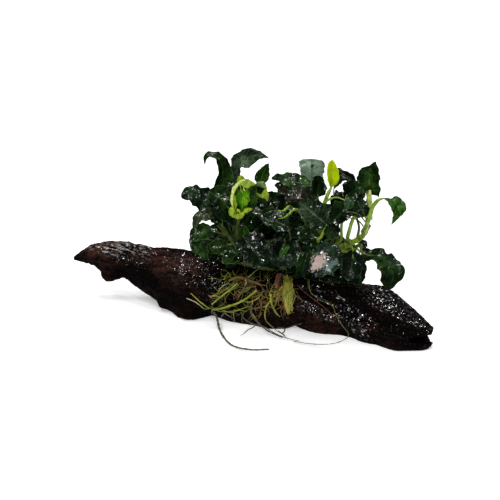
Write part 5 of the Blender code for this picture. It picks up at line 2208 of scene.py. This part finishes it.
ROOTLETS = tuple(
    Rootlet(*row)
    for row in (
        (((241.5, 301), (250.5, 301), (257.5, 298), (261, 294.5), (264.5, 290)), 0.45, 1.2),
        (((187, 298), (194.5, 301), (200, 305), (204, 308.5), (212, 308)), 0.4, 0.7, RootTone.PALE),
        (((212.5, 309), (212.5, 312.5), (215.5, 315)), 0.45, 1.0, RootTone.PALE),
        (((229, 281.5), (234.5, 279), (240, 277), (245, 279), (250.5, 280.5), (256, 283), (262, 285),
         (267, 286)),),
        (((210.5, 297), (215, 294.5), (220, 296), (227, 292.5), (234.5, 287.5), (239, 284)), 0.5, 1.0),
        (((209, 295), (214, 295.5), (219, 295)), 0.5, 1.2, RootTone.ORANGE),
        (((237, 279), (242.5, 280.5), (247, 281.5), (252, 282.5), (258, 283)), 0.5, 1.4, RootTone.ORANGE),
        (((248.5, 279), (254, 274.5), (258.5, 271.5), (263.5, 269)), 0.45, 2.0, RootTone.PALE),
        (((224, 280.5), (226.5, 276), (228.5, 273), (230.5, 276), (232, 279.5)), 0.4, 1.2),
        (((233, 271.5), (233.5, 274.5), (237, 277.5)), 0.35, 1.0),
        (((217, 294), (220.5, 288.5), (225, 285), (229, 282.5)), 0.35, 1.4),
        (((219, 294), (223, 290), (229, 287.5), (234.5, 284)), 0.35, 1.0),
        (((247, 281), (245, 286), (243.5, 291), (240, 295.5), (238, 300)), 0.5, 1.8, RootTone.ORANGE),
        (((250.5, 286), (246, 289.5), (241.5, 294)), 0.4, 1.4, RootTone.ORANGE),
        (((246, 281), (246.5, 284), (245, 287)), 0.5, 2.2, RootTone.PALE),
        (((253, 301), (252, 308), (252, 312), (255, 316), (258.5, 320)), 0.5, 1.2),
        (((241, 311.5), (243.5, 317), (248.5, 321), (255, 324.5, 9), (262, 326, 8)), 0.45, 0.8,
         RootTone.BROWN),
        (((262, 326, 8), (268, 329, 6), (273.5, 332.5, 4.5), (281, 336, 3), (292, 339.5, 1.4),
         (300, 341, 1)), 0.42, 0.8, RootTone.BROWN),
        (((256, 325, 8), (252, 328, 6.5), (247.5, 330, 5), (244, 333.5, 3), (240, 335.5, 1.5)), 0.42, 0.8,
         RootTone.BROWN),
        (((268, 305), (265.5, 312), (266.5, 319), (269, 324, 9), (273, 327.5, 7), (278, 332, 5)), 0.5, 1.2),
        (((277, 328.5, 7), (281, 328, 7), (285, 329, 6), (283, 333, 4), (279, 332, 5)), 0.6, 1.0,
         RootTone.BROWN),
        (((278, 331, 5), (282, 333.5, 4), (285.5, 336.5, 3)), 0.6, 1.0, RootTone.BROWN),
        (((284.5, 329, 6), (292, 326, 6), (300, 324, 6.5), (309, 324, 7)), 0.3, 1.0, RootTone.BROWN),
        (((264.5, 306), (268, 305), (271.5, 300), (271, 295.5), (270, 293), (273.5, 290)), 0.5, 1.6),
        (((271, 295.5), (271.5, 302.5), (274, 309), (277, 313.5), (280.5, 316)), 0.5, 1.2),
        (((285.5, 286.5), (280.5, 291), (278, 297), (277, 302), (274.5, 308)), 0.42, 1.6),
        (((292, 283), (291, 288.5), (292.5, 293), (290, 297.5), (286.5, 302), (285.5, 305.5)), 0.75, 3.6),
        (((288, 285), (286, 290), (287, 295), (284, 299)), 0.5, 4.0),
        (((283, 288), (279, 292), (274, 293.5), (270, 293)), 0.45, 2.6),
        (((285.5, 305), (288, 309), (290.5, 312.5)), 0.42, 1.0, RootTone.PALE),
        (((294, 293), (295, 297.5), (293, 302), (292.5, 305.5)), 0.35, 0.9, RootTone.PALE),
        (((225, 312.5), (229, 315), (234.5, 318.5), (233, 320.5)), 0.4, 0.8, RootTone.PALE),
        (((234.5, 309), (233.5, 314), (234.5, 318), (235, 321)), 0.45, 1.0),
        (((216, 313), (218.5, 316), (219.5, 320)), 0.7, 1.2, RootTone.BROWN),
        (((224, 313), (221.5, 316), (220, 321)), 0.6, 1.0, RootTone.BROWN),
        (((214, 309.5), (225, 311), (237, 309.5), (249, 306)), 0.4, 0.9),
        (((222, 309), (231, 312), (240, 310), (247, 311)), 0.35, 0.9),
        (((249, 306), (255, 308), (262, 307), (268, 305)), 0.4, 0.9, RootTone.ORANGE),
        (((262.5, 312.5), (261, 315), (259.5, 317.5)), 0.35, 0.8, RootTone.ORANGE),
        (((308, 275), (309, 281), (310, 288), (312, 295)), 0.35, 1.0),
        (((318, 297), (325, 299.5), (331, 305), (337, 315)), 0.28, 0.8, RootTone.BROWN),
        (((297, 285), (306, 293), (316, 302), (325, 309), (332, 315)), 0.26, 0.7, RootTone.STUB),
    )
)

TANGLES = tuple(
    Tangle(*row)
    for row in (
        ((219, 260), (272, 297), 34, 0.24, 215, 24, 1.8, RootTone.DULL),
        ((230, 262), (278, 294), 16, 0.24, 215, 30, 1.6, RootTone.ORANGE),
        ((257, 269), (290, 304), 40, 0.20, 250, 60, 2.2, RootTone.ORANGE),
        ((278, 290), (289, 304), 46, 0.22, 250, 60, 4.0, RootTone.ORANGE),
        ((274, 292), (282, 292), 18, 0.28, 255, 24, 3.2, RootTone.GREEN),
        ((216, 262), (303, 316), 20, 0.24, 190, 24, 1.2, RootTone.DULL),
        ((230, 300), (265, 276), 20, 0.22, 250, 40, 1.4, RootTone.DULL),
    )
)


def main() -> None:
    """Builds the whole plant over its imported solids."""
    logging.basicConfig(level=logging.INFO, format="%(name)s: %(message)s")
    for old in list(bpy.data.objects):
        bpy.data.objects.remove(old, do_unlink=True)
    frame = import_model()
    nodes = frame["nodes"]
    Studio().build()
    wood = Driftwood(nodes["driftwood"], KNOBS)
    wood.build()
    stalks = {tone: tone.value.material() for tone in StemTone}
    Stems(nodes, stalks).build()
    materials = {kind: kind.value.material() for kind in LeafKind}
    Foliage(nodes, LEAVES, ROLLED_LEAVES, materials, stalks).build()
    stems = [Line.of(nodes[name]) for name in SHOOTS]
    taken = []
    for solid in nodes.values():
        shape = merged(solid)
        taken.append(BVHTree.FromBMesh(shape))
        shape.free()
    InnerLeaves(INNER_LEAVES, stems, taken, materials, stalks[StemTone.STALK]).build()
    Roots(nodes, wood, ROOTLETS, TANGLES, ROOT_TONES).build()


if __name__ == "__main__":
    main()
